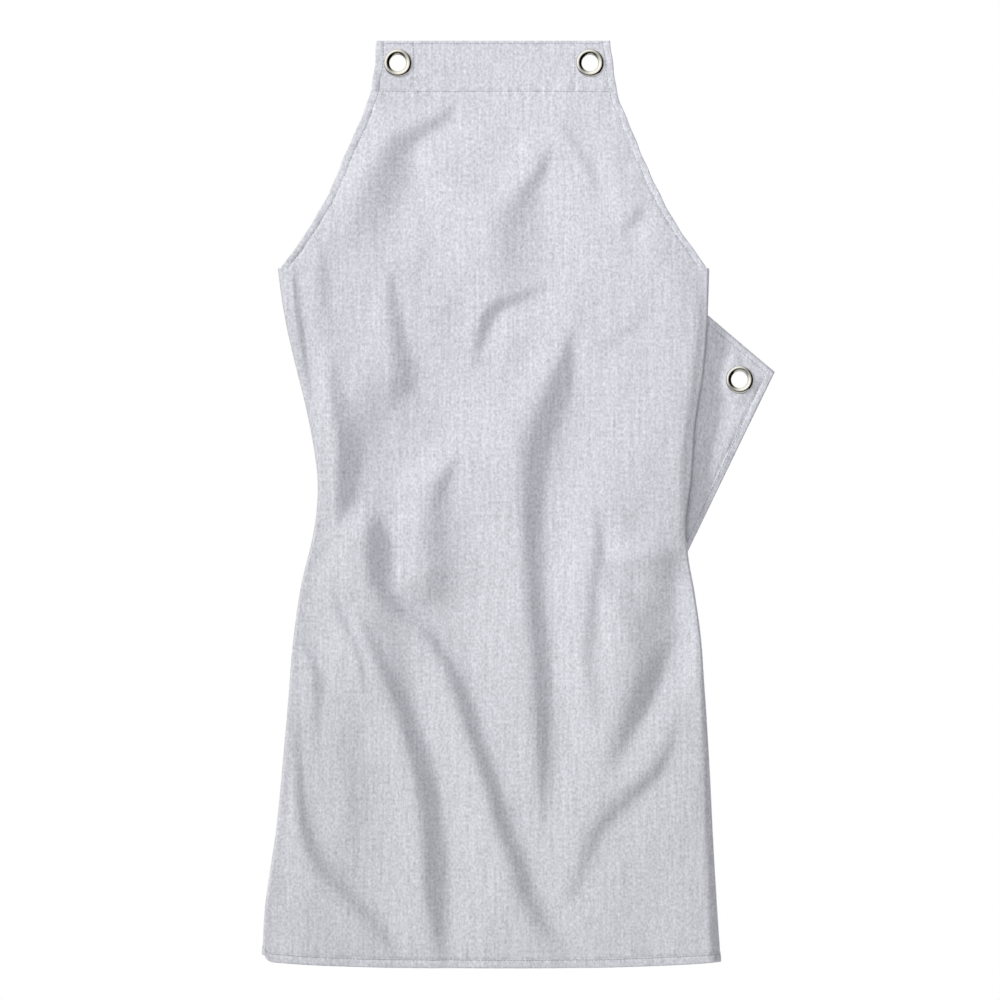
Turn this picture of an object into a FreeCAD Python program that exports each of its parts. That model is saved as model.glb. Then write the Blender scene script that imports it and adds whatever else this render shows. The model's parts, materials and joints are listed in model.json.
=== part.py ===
"""Cloth apron with four metal eyelets, hung by its two top eyelets.

Millimetres. X is to the right seen from the front, Y goes from the front to the back and Z is up.
The origin lies midway between the centres of the two top eyelets, on the front face of the cloth.
The sides of the skirt are folded behind the front. The right wing is folded out again, so that its
tip stands beside the front, and the left wing lies folded in behind it.
"""

import FreeCAD, Part
import math
import os

import Sketcher

DOC = FreeCAD.newDocument("Apron")
SHEET_NAME = "Sizes"

# Every driving dimension in millimetres, except the one that ends in degrees.
SIZES = {
    "cloth_thick": 0.6,
    "top_edge": 21.5,
    "hem_level": -873.0,
    "armhole_radius": 472.0,
    "armhole_centre_side": 579.1,
    "armhole_centre_up": 92.85,
    "corner_level": -198.0,
    "flank_level": -310.0,
    "waist_level": -448.0,
    "hip_level": -560.0,
    "thigh_level": -700.0,
    "right_flank": 198.0,
    "right_waist": 183.0,
    "right_hip": 198.0,
    "right_thigh": 206.5,
    "right_hem": 217.0,
    "left_flank": 184.0,
    "left_waist": 168.0,
    "left_hip": 192.0,
    "left_thigh": 204.5,
    "left_hem": 223.0,
    "fold_depth": 9.0,
    "strip_edge": 77.4,
    "hinge_top_side": 186.0,
    "hinge_top_level": -225.0,
    "hinge_length": 486.3,
    "hinge_tilt_degrees": 12.9,
    "hinge_behind": 10.2,
    "hinge_gap": 2.5,
    "wing_reach": 99.7,
    "wing_drop": 51.75,
    "facing_depth": 49.0,
    "hem_width": 9.0,
    "seam_inset": 7.2,
    "thread_thick": 0.3,
    "thread_wide": 0.6,
    "patch_inner": 75.5,
    "patch_seam_inset": 2.2,
    "top_seam_inset": 2.6,
    "patch_depth": 47.5,
    "wing_patch_start": 7.4,
    "wing_patch_length": 39.0,
    "wing_patch_width": 37.0,
    "wing_top_hem_start": 8.0,
    "wing_top_hem_end": 12.0,
    "wing_side_hem_end": 52.0,
    "eyelet_side": 92.75,
    "wing_eyelet_along": 21.6,
    "wing_eyelet_inward": 27.3,
    "bore_radius": 8.0,
    "metal_thick": 0.5,
    "flange_radius": 13.5,
    "flange_crest": 9.7,
    "flange_rise": 1.9,
    "throat_rise": 0.9,
    "washer_radius": 13.0,
    "washer_thick": 0.7,
    "curl_radius": 10.8,
    "curl_rise": 1.0,
    "curl_throat": 0.3,
}

SHEET = DOC.addObject("Spreadsheet::Sheet", SHEET_NAME)
for row, (alias, number) in enumerate(SIZES.items(), start=1):
    SHEET.set(f"A{row}", alias)
    SHEET.set(f"B{row}", str(number))
    SHEET.setAlias(f"B{row}", alias)
DOC.recompute()

PARTS = []
SIDES = ((1, "right"), (-1, "left"))


class Size:
    """A size that knows both its value and the expression that works it out from the sheet."""

    def __init__(self, value, text):
        self.value = value
        self.text = text

    def __add__(self, other):
        return Size(self.value + other.value, f"({self.text} + {other.text})")

    def __sub__(self, other):
        return Size(self.value - other.value, f"({self.text} - {other.text})")

    def __mul__(self, factor):
        return Size(self.value * factor, f"({self.text} * {factor})")

    def __truediv__(self, other):
        return Size(self.value / other.value, f"({self.text} / {other.text})")

    def times(self, other):
        return Size(self.value * other.value, f"({self.text} * {other.text})")

    def __neg__(self):
        return Size(-self.value, f"(-{self.text})")


def size(alias):
    """The driving dimension of that name."""
    return Size(SHEET.get(alias), f"{SHEET_NAME}.{alias}")


NONE = Size(0.0, "0")
CLOTH = size("cloth_thick")
STRIP_FRONT = size("fold_depth") - CLOTH
WING_FRONT = size("hinge_behind") * 2 - size("fold_depth")


def keep(name, thing):
    """Names a finished sub-part and puts it on the list of parts to write."""
    thing.Label = name
    PARTS.append(thing)
    return thing


# ---------------------------------------------------------------- PartDesign helpers


def new_body(name):
    return DOC.addObject("PartDesign::Body", f"{name}_body")


def origin_plane(body, role):
    for feature in body.Origin.OriginFeatures:
        if feature.Role == role:
            return feature
    raise ValueError(f"no {role} in {body.Name}")


def new_sketch(body, name, role):
    sketch = body.newObject("Sketcher::SketchObject", name)
    sketch.AttachmentSupport = [(origin_plane(body, role), "")]
    sketch.MapMode = "FlatFace"
    return sketch


def bind_point(sketch, geometry, end, across, up):
    """Holds one end of a sketch line at two sizes measured from the sketch's origin."""
    for kind, distance in (("DistanceX", across), ("DistanceY", up)):
        constraint = Sketcher.Constraint(kind, -1, 1, geometry, end, distance.value)
        index = sketch.addConstraint(constraint)
        sketch.setExpression(f"Constraints[{index}]", distance.text)


def add_polygon(sketch, points):
    """Adds a closed outline of straight lines through points, each a pair of sizes."""
    first = sketch.GeometryCount
    count = len(points)
    for i, (across, up) in enumerate(points):
        next_across, next_up = points[(i + 1) % count]
        start = FreeCAD.Vector(across.value, up.value, 0)
        finish = FreeCAD.Vector(next_across.value, next_up.value, 0)
        sketch.addGeometry(Part.LineSegment(start, finish), False)
    for i in range(count):
        sketch.addConstraint(
            Sketcher.Constraint("Coincident", first + i, 2, first + (i + 1) % count, 1)
        )
    for i, (across, up) in enumerate(points):
        bind_point(sketch, first + i, 1, across, up)


def add_circle(sketch, across, up, radius):
    """Adds a circle whose centre and radius are sizes."""
    centre = FreeCAD.Vector(across.value, up.value, 0)
    index = sketch.addGeometry(Part.Circle(centre, FreeCAD.Vector(0, 0, 1), radius.value), False)
    bind_point(sketch, index, 3, across, up)
    constraint = sketch.addConstraint(Sketcher.Constraint("Radius", index, radius.value))
    sketch.setExpression(f"Constraints[{constraint}]", radius.text)


def front_pad(name, outlines, circles, front, thickness):
    """Pads outlines drawn in the XZ plane from the depth front towards the back by thickness."""
    body = new_body(name)
    sketch = new_sketch(body, f"{name}_outline", "XZ_Plane")
    sketch.AttachmentOffset = FreeCAD.Placement(
        FreeCAD.Vector(0, 0, -front.value), FreeCAD.Rotation()
    )
    sketch.setExpression("AttachmentOffset.Base.z", f"-1 * {front.text} * 1 mm")
    for outline in outlines:
        add_polygon(sketch, outline)
    for across, up, radius in circles:
        add_circle(sketch, across, up, radius)
    pad = body.newObject("PartDesign::Pad", f"{name}_pad")
    pad.Profile = sketch
    pad.Length = thickness.value
    pad.setExpression("Length", thickness.text)
    pad.Reversed = True
    body.Tip = pad
    return keep(name, body)


def turned(name, profile):
    """Revolves a closed profile of (radius, depth) sizes about the Y axis."""
    body = new_body(name)
    sketch = new_sketch(body, f"{name}_profile", "XY_Plane")
    add_polygon(sketch, profile)
    revolution = body.newObject("PartDesign::Revolution", f"{name}_revolution")
    revolution.Profile = sketch
    revolution.ReferenceAxis = (sketch, ["V_Axis"])
    revolution.Angle = 360.0
    body.Tip = revolution
    return keep(name, body)


# ---------------------------------------------------------------- Part helpers


def bound_box(name, length, width, height):
    box = DOC.addObject("Part::Box", name)
    for side, amount in (("Length", length), ("Width", width), ("Height", height)):
        setattr(box, side, amount.value)
        box.setExpression(side, amount.text)
    return box


def placed_box(name, low_across, low_depth, low_up, length, width, height):
    """A box given by its lowest corner and its three sides, all of them sizes."""
    box = bound_box(name, length, width, height)
    for axis, low in (("x", low_across), ("y", low_depth), ("z", low_up)):
        box.setExpression(f"Placement.Base.{axis}", f"{low.text} * 1 mm")
    return box


def depth_cylinder(name, radius, across, up, front, thickness):
    """A cylinder along Y from the depth front towards the back."""
    cylinder = DOC.addObject("Part::Cylinder", name)
    cylinder.Radius = radius.value
    cylinder.setExpression("Radius", radius.text)
    cylinder.Height = thickness.value
    cylinder.setExpression("Height", thickness.text)
    cylinder.Placement = FreeCAD.Placement(
        FreeCAD.Vector(across.value, front.value, up.value),
        FreeCAD.Rotation(FreeCAD.Vector(1, 0, 0), -90),
    )
    for axis, amount in (("x", across), ("y", front), ("z", up)):
        cylinder.setExpression(f"Placement.Base.{axis}", f"{amount.text} * 1 mm")
    return cylinder


def cut_away(name, base, tools):
    """A box or cylinder with one or more tools cut from it."""
    result = base
    for number, tool in enumerate(tools, start=1):
        cut = DOC.addObject("Part::Cut", f"{name}_cut_{number}")
        cut.Base = result
        cut.Tool = tool
        result = cut
    return result


def armhole_tool(name, side, extra, front, thickness):
    """The round armhole of one side, made larger by extra, as a cylinder through the cloth."""
    return depth_cylinder(
        name,
        size("armhole_radius") + extra,
        size("armhole_centre_side") * side,
        size("armhole_centre_up"),
        front,
        thickness,
    )


def armhole_band(name, side, near, far, front, thickness):
    """A strip that follows the armhole edge, from near to far inside it."""
    band_name = f"{name}_band"
    outer = armhole_tool(f"{band_name}_outer", side, far, front, thickness)
    inner = armhole_tool(f"{band_name}_inner", side, near, front, thickness)
    ring = cut_away(band_name, outer, [inner])
    height = size("top_edge") - size("corner_level")
    low_across = NONE if side > 0 else -size("armhole_centre_side")
    box = placed_box(
        f"{name}_reach",
        low_across,
        front,
        size("corner_level"),
        size("armhole_centre_side"),
        thickness,
        height,
    )
    common = DOC.addObject("Part::Common", f"{name}_common")
    common.Base = ring
    common.Tool = box
    return keep(name, common)


# ---------------------------------------------------------------- cloth of the body


# The heights where the width of the skirt is given, from the top down.
LEVELS = ("flank", "waist", "hip", "thigh", "hem")
# How many straight steps follow the curve of a side.
SIDE_STEPS = 16
# How far from the middle the folded sides end before their strips are cut to shape.
SIDE_BLANK_END = 60.0
# How far cutting shapes reach past the cloth.
PAST = 5.0
# The clearance between the bottom hem and the cloth round it.
FIT = 0.03


def value(alias):
    return SHEET.get(alias)


def corner_reach():
    """How far the armhole corner stands from the middle."""
    drop = value("armhole_centre_up") - value("corner_level")
    return value("armhole_centre_side") - math.sqrt(value("armhole_radius") ** 2 - drop**2)


def side_line(side_name):
    """The silhouette of one side of the skirt, from the armhole corner down, as (reach, level) steps."""
    points = [FreeCAD.Vector(corner_reach(), 0, value("corner_level"))]
    for level in LEVELS:
        points.append(FreeCAD.Vector(value(f"{side_name}_{level}"), 0, value(f"{level}_level")))
    curve = Part.BSplineCurve()
    curve.interpolate(points)
    first = curve.FirstParameter
    span = curve.LastParameter - first
    steps = []
    for i in range(SIDE_STEPS + 1):
        point = curve.value(first + span * i / SIDE_STEPS)
        steps.append((point.x, point.z))
    return steps


def reach_at(side_name, height):
    """How far the silhouette of one side stands from the middle at a height."""
    steps = side_line(side_name)
    for (near, top), (far, bottom) in zip(steps, steps[1:]):
        if bottom <= height <= top:
            return near + (far - near) * (top - height) / (top - bottom)
    return steps[-1][0]


def arc(first, middle, last):
    return Part.Arc(*(FreeCAD.Vector(*point) for point in (first, middle, last))).toShape()


def line(first, last):
    return Part.LineSegment(FreeCAD.Vector(*first), FreeCAD.Vector(*last)).toShape()


def fold_section(side, reach, level):
    """The section of a folded side: a half round from the front to the back, and a straight strip."""
    depth = value("fold_depth")
    thick = value("cloth_thick")
    radius = depth / 2
    bend = side * (reach - radius)
    end = side * SIDE_BLANK_END
    outside = side * reach
    inside = side * (reach - thick)
    wire = Part.Wire(
        [
            line((bend, thick, level), (bend, 0, level)),
            arc((bend, 0, level), (outside, radius, level), (bend, depth, level)),
            line((bend, depth, level), (end, depth, level)),
            line((end, depth, level), (end, depth - thick, level)),
            line((end, depth - thick, level), (bend, depth - thick, level)),
            arc((bend, depth - thick, level), (inside, radius, level), (bend, thick, level)),
        ]
    )
    return wire


def hinge_point(side, inward, down):
    """A point of the hinge frame of one wing: inward from the hinge line and down along it."""
    tilt = math.radians(value("hinge_tilt_degrees"))
    across = value("hinge_top_side") - down * math.sin(tilt) - inward * math.cos(tilt)
    up = value("hinge_top_level") - down * math.cos(tilt) + inward * math.sin(tilt)
    return side * across, up


def back_opening(side):
    """What is cut from a folded side: all that lies inward of the hinge line and of the strip edge."""
    gap = -value("hinge_gap")
    top = hinge_point(side, gap, 0)
    bottom = hinge_point(side, gap, value("hinge_length"))
    outline = [
        (side * value("strip_edge"), value("hem_level") - PAST),
        (side * value("strip_edge"), bottom[1]),
        bottom,
        top,
        (side * (corner_reach() + PAST), value("corner_level")),
        (side * (corner_reach() + PAST), value("top_edge")),
        (0, value("top_edge")),
        (0, value("hem_level") - PAST),
    ]
    front = value("fold_depth") / 2
    points = [FreeCAD.Vector(x, front, z) for x, z in outline]
    face = Part.Face(Part.makePolygon(points + points[:1]))
    return face.extrude(FreeCAD.Vector(0, value("fold_depth"), 0))


def make_side_fold(side, side_name):
    """One side of the skirt, which turns round behind the front and ends in a flat strip."""
    sections = [fold_section(side, reach, height) for reach, height in side_line(side_name)]
    shape = Part.makeLoft(sections, True, True).cut(back_opening(side))
    fold = DOC.addObject("Part::Feature", f"side_fold_{side_name}")
    fold.Shape = shape.Solids[0]
    return keep(f"side_fold_{side_name}", fold)


def make_front_panel():
    """The flat front: a bib between the two armholes and the skirt below it."""
    radius = value("fold_depth") / 2
    outline = [FreeCAD.Vector(reach - radius, 0, z) for reach, z in side_line("right")]
    outline += [FreeCAD.Vector(radius - reach, 0, z) for reach, z in reversed(side_line("left"))]
    through = FreeCAD.Vector(0, value("cloth_thick"), 0)
    skirt = Part.Face(Part.makePolygon(outline + outline[:1])).extrude(through)
    reach = corner_reach()
    height = value("top_edge") - value("corner_level")
    bib = Part.makeBox(
        2 * reach,
        value("cloth_thick"),
        height,
        FreeCAD.Vector(-reach, 0, value("corner_level")),
    )
    back = FreeCAD.Vector(0, 1, 0)
    for side, _ in SIDES:
        centre = FreeCAD.Vector(
            side * value("armhole_centre_side"), -PAST, value("armhole_centre_up")
        )
        bib = bib.cut(Part.makeCylinder(value("armhole_radius"), 2 * PAST, centre, back))
    shape = bib.fuse(skirt).removeSplitter()
    barrel = value("bore_radius") + value("metal_thick")
    for side, _ in SIDES:
        centre = FreeCAD.Vector(side * value("eyelet_side"), -PAST, 0)
        shape = shape.cut(Part.makeCylinder(barrel, 2 * PAST, centre, back))
    panel = DOC.addObject("Part::Feature", "front_panel")
    panel.Shape = shape.Solids[0]
    return keep("front_panel", panel)


def make_top_facing():
    """The facing sewn behind the top edge, between the two armhole hems."""
    name = "top_facing"
    half = size("armhole_centre_side") - size("armhole_radius")
    box = placed_box(
        f"{name}_blank",
        -half - size("hem_width"),
        CLOTH,
        size("top_edge") - size("facing_depth"),
        half * 2 + size("hem_width") * 2,
        CLOTH,
        size("facing_depth"),
    )
    tools = []
    for side, side_name in SIDES:
        tools.append(
            armhole_tool(f"{name}_armhole_{side_name}", side, size("hem_width"), CLOTH, CLOTH)
        )
        tools.append(
            depth_cylinder(
                f"{name}_hole_{side_name}",
                size("bore_radius") + size("metal_thick"),
                size("eyelet_side") * side,
                NONE,
                CLOTH,
                CLOTH,
            )
        )
    return keep(name, cut_away(name, box, tools))


def make_corner_patch(side, side_name):
    """The reinforcement behind a top corner, out to the armhole edge."""
    name = f"corner_patch_{side_name}"
    reach = size("armhole_centre_side") - size("armhole_radius")
    length = reach + size("hem_width") * 2 - size("patch_inner")
    low = size("patch_inner") if side > 0 else -(size("patch_inner") + length)
    box = placed_box(
        f"{name}_blank",
        low,
        CLOTH * 2,
        size("top_edge") - size("patch_depth"),
        length,
        CLOTH,
        size("patch_depth"),
    )
    tools = [
        armhole_tool(f"{name}_armhole", side, NONE, CLOTH * 2, CLOTH),
        depth_cylinder(
            f"{name}_hole",
            size("bore_radius") + size("metal_thick"),
            size("eyelet_side") * side,
            NONE,
            CLOTH * 2,
            CLOTH,
        ),
    ]
    return keep(name, cut_away(name, box, tools))


def hem_section(height):
    """The hem's section at a height: round inside both folded sides to the edges of the strips."""
    thick = value("cloth_thick")
    depth = value("fold_depth") - thick - FIT
    front = thick + FIT
    outer = (depth - front) / 2
    inner = outer - thick
    middle = value("fold_depth") / 2
    ends = {}
    turns = {}
    for side, side_name in SIDES:
        bend = side * (reach_at(side_name, height) - value("fold_depth") / 2)
        end = side * value("strip_edge")
        ends[side] = bend
        turns[side] = [
            arc(
                (bend, front, height),
                (bend + side * outer, middle, height),
                (bend, depth, height),
            ),
            line((bend, depth, height), (end, depth, height)),
            line((end, depth, height), (end, depth - thick, height)),
            line((end, depth - thick, height), (bend, depth - thick, height)),
            arc(
                (bend, depth - thick, height),
                (bend + side * inner, middle, height),
                (bend, front + thick, height),
            ),
        ]
    across = [
        line((ends[1], front + thick, height), (ends[-1], front + thick, height)),
        line((ends[-1], front, height), (ends[1], front, height)),
    ]
    return Part.Wire(turns[1] + across[:1] + turns[-1][::-1] + across[1:])


def make_bottom_hem():
    """The hem turned up inside the bottom edge."""
    bottom = value("hem_level")
    sections = [hem_section(bottom), hem_section(bottom + value("hem_width"))]
    hem = DOC.addObject("Part::Feature", "bottom_hem")
    hem.Shape = Part.makeLoft(sections, True, True)
    return keep("bottom_hem", hem)


def make_side_hem(side, side_name):
    """The hem turned in along the upright edge of a back strip, below the wing's hinge."""
    hinge_end = hinge_point(side, 0, value("hinge_length"))[1]
    top = Size(hinge_end - value("hem_width"), f"({hinge_end - value('hem_width')})")
    low = size("hem_level") + size("hem_width")
    low_across = size("strip_edge") if side > 0 else -(size("strip_edge") + size("hem_width"))
    box = placed_box(
        f"side_hem_{side_name}",
        low_across,
        STRIP_FRONT - CLOTH,
        low,
        size("hem_width"),
        CLOTH,
        top - low,
    )
    return keep(f"side_hem_{side_name}", box)


# ---------------------------------------------------------------- wings


def wing_placement(side):
    """Puts a wing that was drawn in its hinge frame in its place: hinge down, wing to the right."""
    turn = FreeCAD.Rotation(FreeCAD.Vector(0, 1, 0), side * value("hinge_tilt_degrees"))
    top = FreeCAD.Vector(side * value("hinge_top_side"), 0, value("hinge_top_level"))
    return FreeCAD.Placement(top, turn)


def edge_placement(side, along, inward, depth):
    """The frame of a wing's free side edge: X inward from the edge, Z up along it."""
    reach = value("wing_reach")
    fall = value("hinge_length") - value("wing_drop")
    lean = math.atan2(reach, fall)
    down = FreeCAD.Vector(-math.sin(lean), 0, -math.cos(lean))
    into = FreeCAD.Vector(-math.cos(lean), 0, math.sin(lean))
    corner = FreeCAD.Vector(reach, depth, -value("wing_drop"))
    base = corner + down * along + into * inward
    turn = FreeCAD.Rotation(FreeCAD.Vector(0, 1, 0), math.degrees(lean))
    return wing_placement(side).multiply(FreeCAD.Placement(base, turn))


def top_edge_placement(side, along, depth):
    """The frame of a wing's top edge: X along the edge from the hinge, Z up across it."""
    slope = math.atan2(value("wing_drop"), value("wing_reach"))
    along_edge = FreeCAD.Vector(math.cos(slope), 0, -math.sin(slope))
    base = along_edge * along
    base.y = depth
    turn = FreeCAD.Rotation(FreeCAD.Vector(0, 1, 0), math.degrees(slope))
    return wing_placement(side).multiply(FreeCAD.Placement(base, turn))


def wing_layers(side):
    """The depths of the front faces of a wing's cloth and lining, and which way its face looks."""
    if side > 0:
        return WING_FRONT, WING_FRONT + CLOTH, -1
    return STRIP_FRONT, STRIP_FRONT - CLOTH, 1


def wing_eyelet_place(side):
    """Where a wing's eyelet is, as (x, z)."""
    spot = edge_placement(side, value("wing_eyelet_along"), value("wing_eyelet_inward"), 0)
    return spot.Base.x, spot.Base.z


def make_wing_panel(side, side_name):
    """The triangle of cloth from the hinge line out to the wing's corner."""
    gap = size("hinge_gap")
    fall = size("hinge_length") - size("wing_drop")
    top = -(gap.times(size("wing_drop")) / size("wing_reach"))
    bottom = gap.times(fall) / size("wing_reach") - size("hinge_length")
    corner = (size("wing_reach"), -size("wing_drop"))
    cloth_front = wing_layers(side)[0]
    lean = math.atan2(value("wing_reach"), fall.value)
    along = value("wing_eyelet_along")
    inward = value("wing_eyelet_inward")
    across = value("wing_reach") - along * math.sin(lean) - inward * math.cos(lean)
    up = -value("wing_drop") - along * math.cos(lean) + inward * math.sin(lean)
    hole = (
        Size(across, f"{across}"),
        Size(up, f"({up})"),
        size("bore_radius") + size("metal_thick"),
    )
    body = front_pad(
        f"wing_panel_{side_name}",
        [[(gap, top), corner, (gap, bottom)]],
        [hole],
        cloth_front,
        CLOTH,
    )
    body.Placement = wing_placement(side)
    return body


def make_wing_hems(side, side_name):
    """The two hems turned in along a wing's free edges."""
    lining = wing_layers(side)[1].value
    fall = value("hinge_length") - value("wing_drop")
    edge = math.hypot(value("wing_reach"), fall)
    length = edge - value("wing_side_hem_end")
    side_hem = bound_box(
        f"wing_side_hem_{side_name}", size("hem_width"), CLOTH, Size(length, f"{length}")
    )
    side_hem.Placement = edge_placement(side, length, value("hem_width"), lining)
    keep(f"wing_side_hem_{side_name}", side_hem)

    top_edge = math.hypot(value("wing_reach"), value("wing_drop"))
    start = value("wing_top_hem_start")
    length = top_edge - start - value("wing_top_hem_end")
    top_hem = bound_box(
        f"wing_top_hem_{side_name}", Size(length, f"{length}"), CLOTH, size("hem_width")
    )
    placement = top_edge_placement(side, start, lining)
    down = placement.Rotation.multVec(FreeCAD.Vector(0, 0, -value("hem_width")))
    placement.Base = placement.Base + down
    top_hem.Placement = placement
    keep(f"wing_top_hem_{side_name}", top_hem)


def make_wing_patch(side, side_name):
    """The square reinforcement under a wing's eyelet, between the two hems."""
    name = f"wing_patch_{side_name}"
    lining = wing_layers(side)[1]
    box = bound_box(
        f"{name}_blank", size("wing_patch_width"), CLOTH, size("wing_patch_length")
    )
    inward = value("hem_width") + value("wing_patch_width")
    along = value("wing_patch_start") + value("wing_patch_length")
    box.Placement = edge_placement(side, along, inward, lining.value)
    across, up = wing_eyelet_place(side)
    hole = depth_cylinder(
        f"{name}_hole",
        size("bore_radius") + size("metal_thick"),
        Size(across, f"({across})"),
        Size(up, f"({up})"),
        lining,
        CLOTH,
    )
    return keep(name, cut_away(name, box, [hole]))


# ---------------------------------------------------------------- eyelets


# Shares that shape the rounded sections: how far out along a band, and how far up its rise.
FLANGE_THROAT = (0.3, 0.85)
FLANGE_SLOPE = (0.5, 0.8)
FLANGE_RIM = (0.4, 0.35)
CURL_RIM = (0.4, 0.6)
CURL_TOP = (0.5, 1.0)
CURL_THROAT = (0.4, 0.75)
WASHER_RIM = 0.4


def eyelet_profile(stack):
    """Half the section of an eyelet: a rolled flange, a barrel and a curl set over the washer."""
    bore = size("bore_radius")
    metal = size("metal_thick")
    barrel = bore + metal
    crest = size("flange_crest")
    flange = size("flange_radius")
    rise = size("flange_rise")
    curl = size("curl_radius")
    curl_rise = size("curl_rise")
    face = stack + size("washer_thick")
    return [
        (bore, -size("throat_rise")),
        (bore + (crest - bore) * FLANGE_THROAT[0], -rise * FLANGE_THROAT[1]),
        (crest, -rise),
        (crest + (flange - crest) * FLANGE_SLOPE[0], -rise * FLANGE_SLOPE[1]),
        (flange - metal * FLANGE_RIM[0], -rise * FLANGE_RIM[1]),
        (flange, NONE),
        (barrel, NONE),
        (barrel, face),
        (curl, face),
        (curl - metal * CURL_RIM[0], face + curl_rise * CURL_RIM[1]),
        (barrel + (curl - barrel) * CURL_TOP[0], face + curl_rise * CURL_TOP[1]),
        (bore + metal * CURL_THROAT[0], face + curl_rise * CURL_THROAT[1]),
        (bore, face + size("curl_throat")),
    ]


def washer_profile(stack):
    """Half the section of a washer with a slightly raised middle."""
    barrel = size("bore_radius") + size("metal_thick")
    face = stack + size("washer_thick")
    return [
        (barrel, stack),
        (size("washer_radius"), stack),
        (size("washer_radius"), stack + size("washer_thick") * WASHER_RIM),
        (size("curl_radius") + size("metal_thick"), face),
        (barrel, face),
    ]


def make_eyelet(name, place, face_depth, looks, stack):
    """An eyelet and its washer. looks is -1 where the flange faces the front and 1 where it faces back."""
    turn = FreeCAD.Rotation() if looks < 0 else FreeCAD.Rotation(FreeCAD.Vector(0, 0, 1), 180)
    placement = FreeCAD.Placement(FreeCAD.Vector(place[0], face_depth, place[1]), turn)
    eyelet = turned(f"{name}_eyelet", eyelet_profile(stack))
    eyelet.Placement = placement
    washer = turned(f"{name}_washer", washer_profile(stack))
    washer.Placement = placement


# ---------------------------------------------------------------- seams


def seam_box(name, low_across, low_depth, low_up, length, width, height):
    return keep(name, placed_box(name, low_across, low_depth, low_up, length, width, height))


def make_body_seams():
    """The rows of stitching on the front and on the two back strips."""
    thread = size("thread_thick")
    wide = size("thread_wide")
    edge = size("armhole_centre_side") - size("armhole_radius") + size("hem_width")
    reach = edge - wide * 4
    seam_box(
        "facing_seam",
        -reach,
        -thread,
        size("top_edge") - size("facing_depth"),
        reach * 2,
        thread,
        wide,
    )
    half = edge - size("hem_width") * 2
    seam_box(
        "top_edge_seam",
        -half,
        -thread,
        size("top_edge") - size("top_seam_inset"),
        half * 2,
        thread,
        wide,
    )
    for side, side_name in SIDES:
        armhole_band(
            f"armhole_seam_{side_name}",
            side,
            size("seam_inset"),
            size("seam_inset") + wide,
            -thread,
            thread,
        )
        hinge_end = hinge_point(side, 0, value("hinge_length"))[1]
        top = Size(hinge_end - value("hem_width"), f"({hinge_end - value('hem_width')})")
        low = size("hem_level") + size("hem_width")
        inset = size("strip_edge") + size("seam_inset")
        seam_box(
            f"side_seam_{side_name}",
            inset if side > 0 else -(inset + wide),
            size("fold_depth"),
            low,
            wide,
            thread,
            top - low,
        )
        upright = size("patch_inner") + size("patch_seam_inset")
        foot = size("top_edge") - size("facing_depth") + wide
        seam_box(
            f"corner_patch_seam_{side_name}",
            upright if side > 0 else -(upright + wide),
            -thread,
            foot,
            wide,
            thread,
            size("top_edge") - size("top_seam_inset") - foot,
        )
    inset = size("fold_depth") * 0.5
    seam_box(
        "bottom_seam",
        inset - size("left_hem"),
        -thread,
        size("hem_level") + size("seam_inset"),
        size("left_hem") + size("right_hem") - inset * 2,
        thread,
        wide,
    )


def make_wing_seams(side, side_name):
    """The rows of stitching along a wing's free side edge and along its top edge."""
    cloth, _, looks = wing_layers(side)
    depth = cloth.value - value("thread_thick") if looks < 0 else cloth.value + CLOTH.value
    fall = value("hinge_length") - value("wing_drop")
    length = math.hypot(value("wing_reach"), fall) - value("wing_side_hem_end")
    seam = bound_box(
        f"wing_side_seam_{side_name}",
        size("thread_wide"),
        size("thread_thick"),
        Size(length, f"{length}"),
    )
    seam.Placement = edge_placement(side, length, value("seam_inset"), depth)
    keep(f"wing_side_seam_{side_name}", seam)

    start = value("wing_top_hem_start")
    length = (
        math.hypot(value("wing_reach"), value("wing_drop")) - start - value("wing_top_hem_end")
    )
    seam = bound_box(
        f"wing_top_seam_{side_name}",
        Size(length, f"{length}"),
        size("thread_thick"),
        size("thread_wide"),
    )
    placement = top_edge_placement(side, start, depth)
    down = placement.Rotation.multVec(FreeCAD.Vector(0, 0, -value("seam_inset")))
    placement.Base = placement.Base + down
    seam.Placement = placement
    keep(f"wing_top_seam_{side_name}", seam)


# ---------------------------------------------------------------- assembly


def main():
    make_front_panel()
    make_top_facing()
    make_bottom_hem()
    for side, side_name in SIDES:
        make_side_fold(side, side_name)
        make_corner_patch(side, side_name)
        armhole_band(f"armhole_hem_{side_name}", side, NONE, size("hem_width"), CLOTH, CLOTH)
        make_side_hem(side, side_name)
        make_wing_panel(side, side_name)
        make_wing_hems(side, side_name)
        make_wing_patch(side, side_name)
        make_wing_seams(side, side_name)
        make_eyelet(f"top_{side_name}", (side * value("eyelet_side"), 0), 0, -1, CLOTH * 3)
        cloth, _, looks = wing_layers(side)
        face = cloth.value if looks < 0 else cloth.value + CLOTH.value
        make_eyelet(f"wing_{side_name}", wing_eyelet_place(side), face, looks, CLOTH * 2)
    make_body_seams()
    DOC.recompute()

    for thing in DOC.Objects:
        if "Invalid" in thing.State or "Error" in thing.State:
            raise RuntimeError(f"{thing.Label} failed: {thing.State}")
    os.makedirs("parts", exist_ok=True)
    for part in PARTS:
        shape = part.Shape
        if shape.isNull() or not shape.isValid() or shape.Volume <= 0:
            raise RuntimeError(f"{part.Label} has no valid shape")
        shape.exportStep(f"parts/{part.Label}.step")
        box = shape.BoundBox
        print(
            f"{part.Label:28s} {len(shape.Solids)} solid {shape.Volume:10.1f} mm3 "
            f"x {box.XMin:.1f}..{box.XMax:.1f} y {box.YMin:.1f}..{box.YMax:.1f} "
            f"z {box.ZMin:.1f}..{box.ZMax:.1f}"
        )
    print(len(PARTS), "parts")


main()
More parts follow.
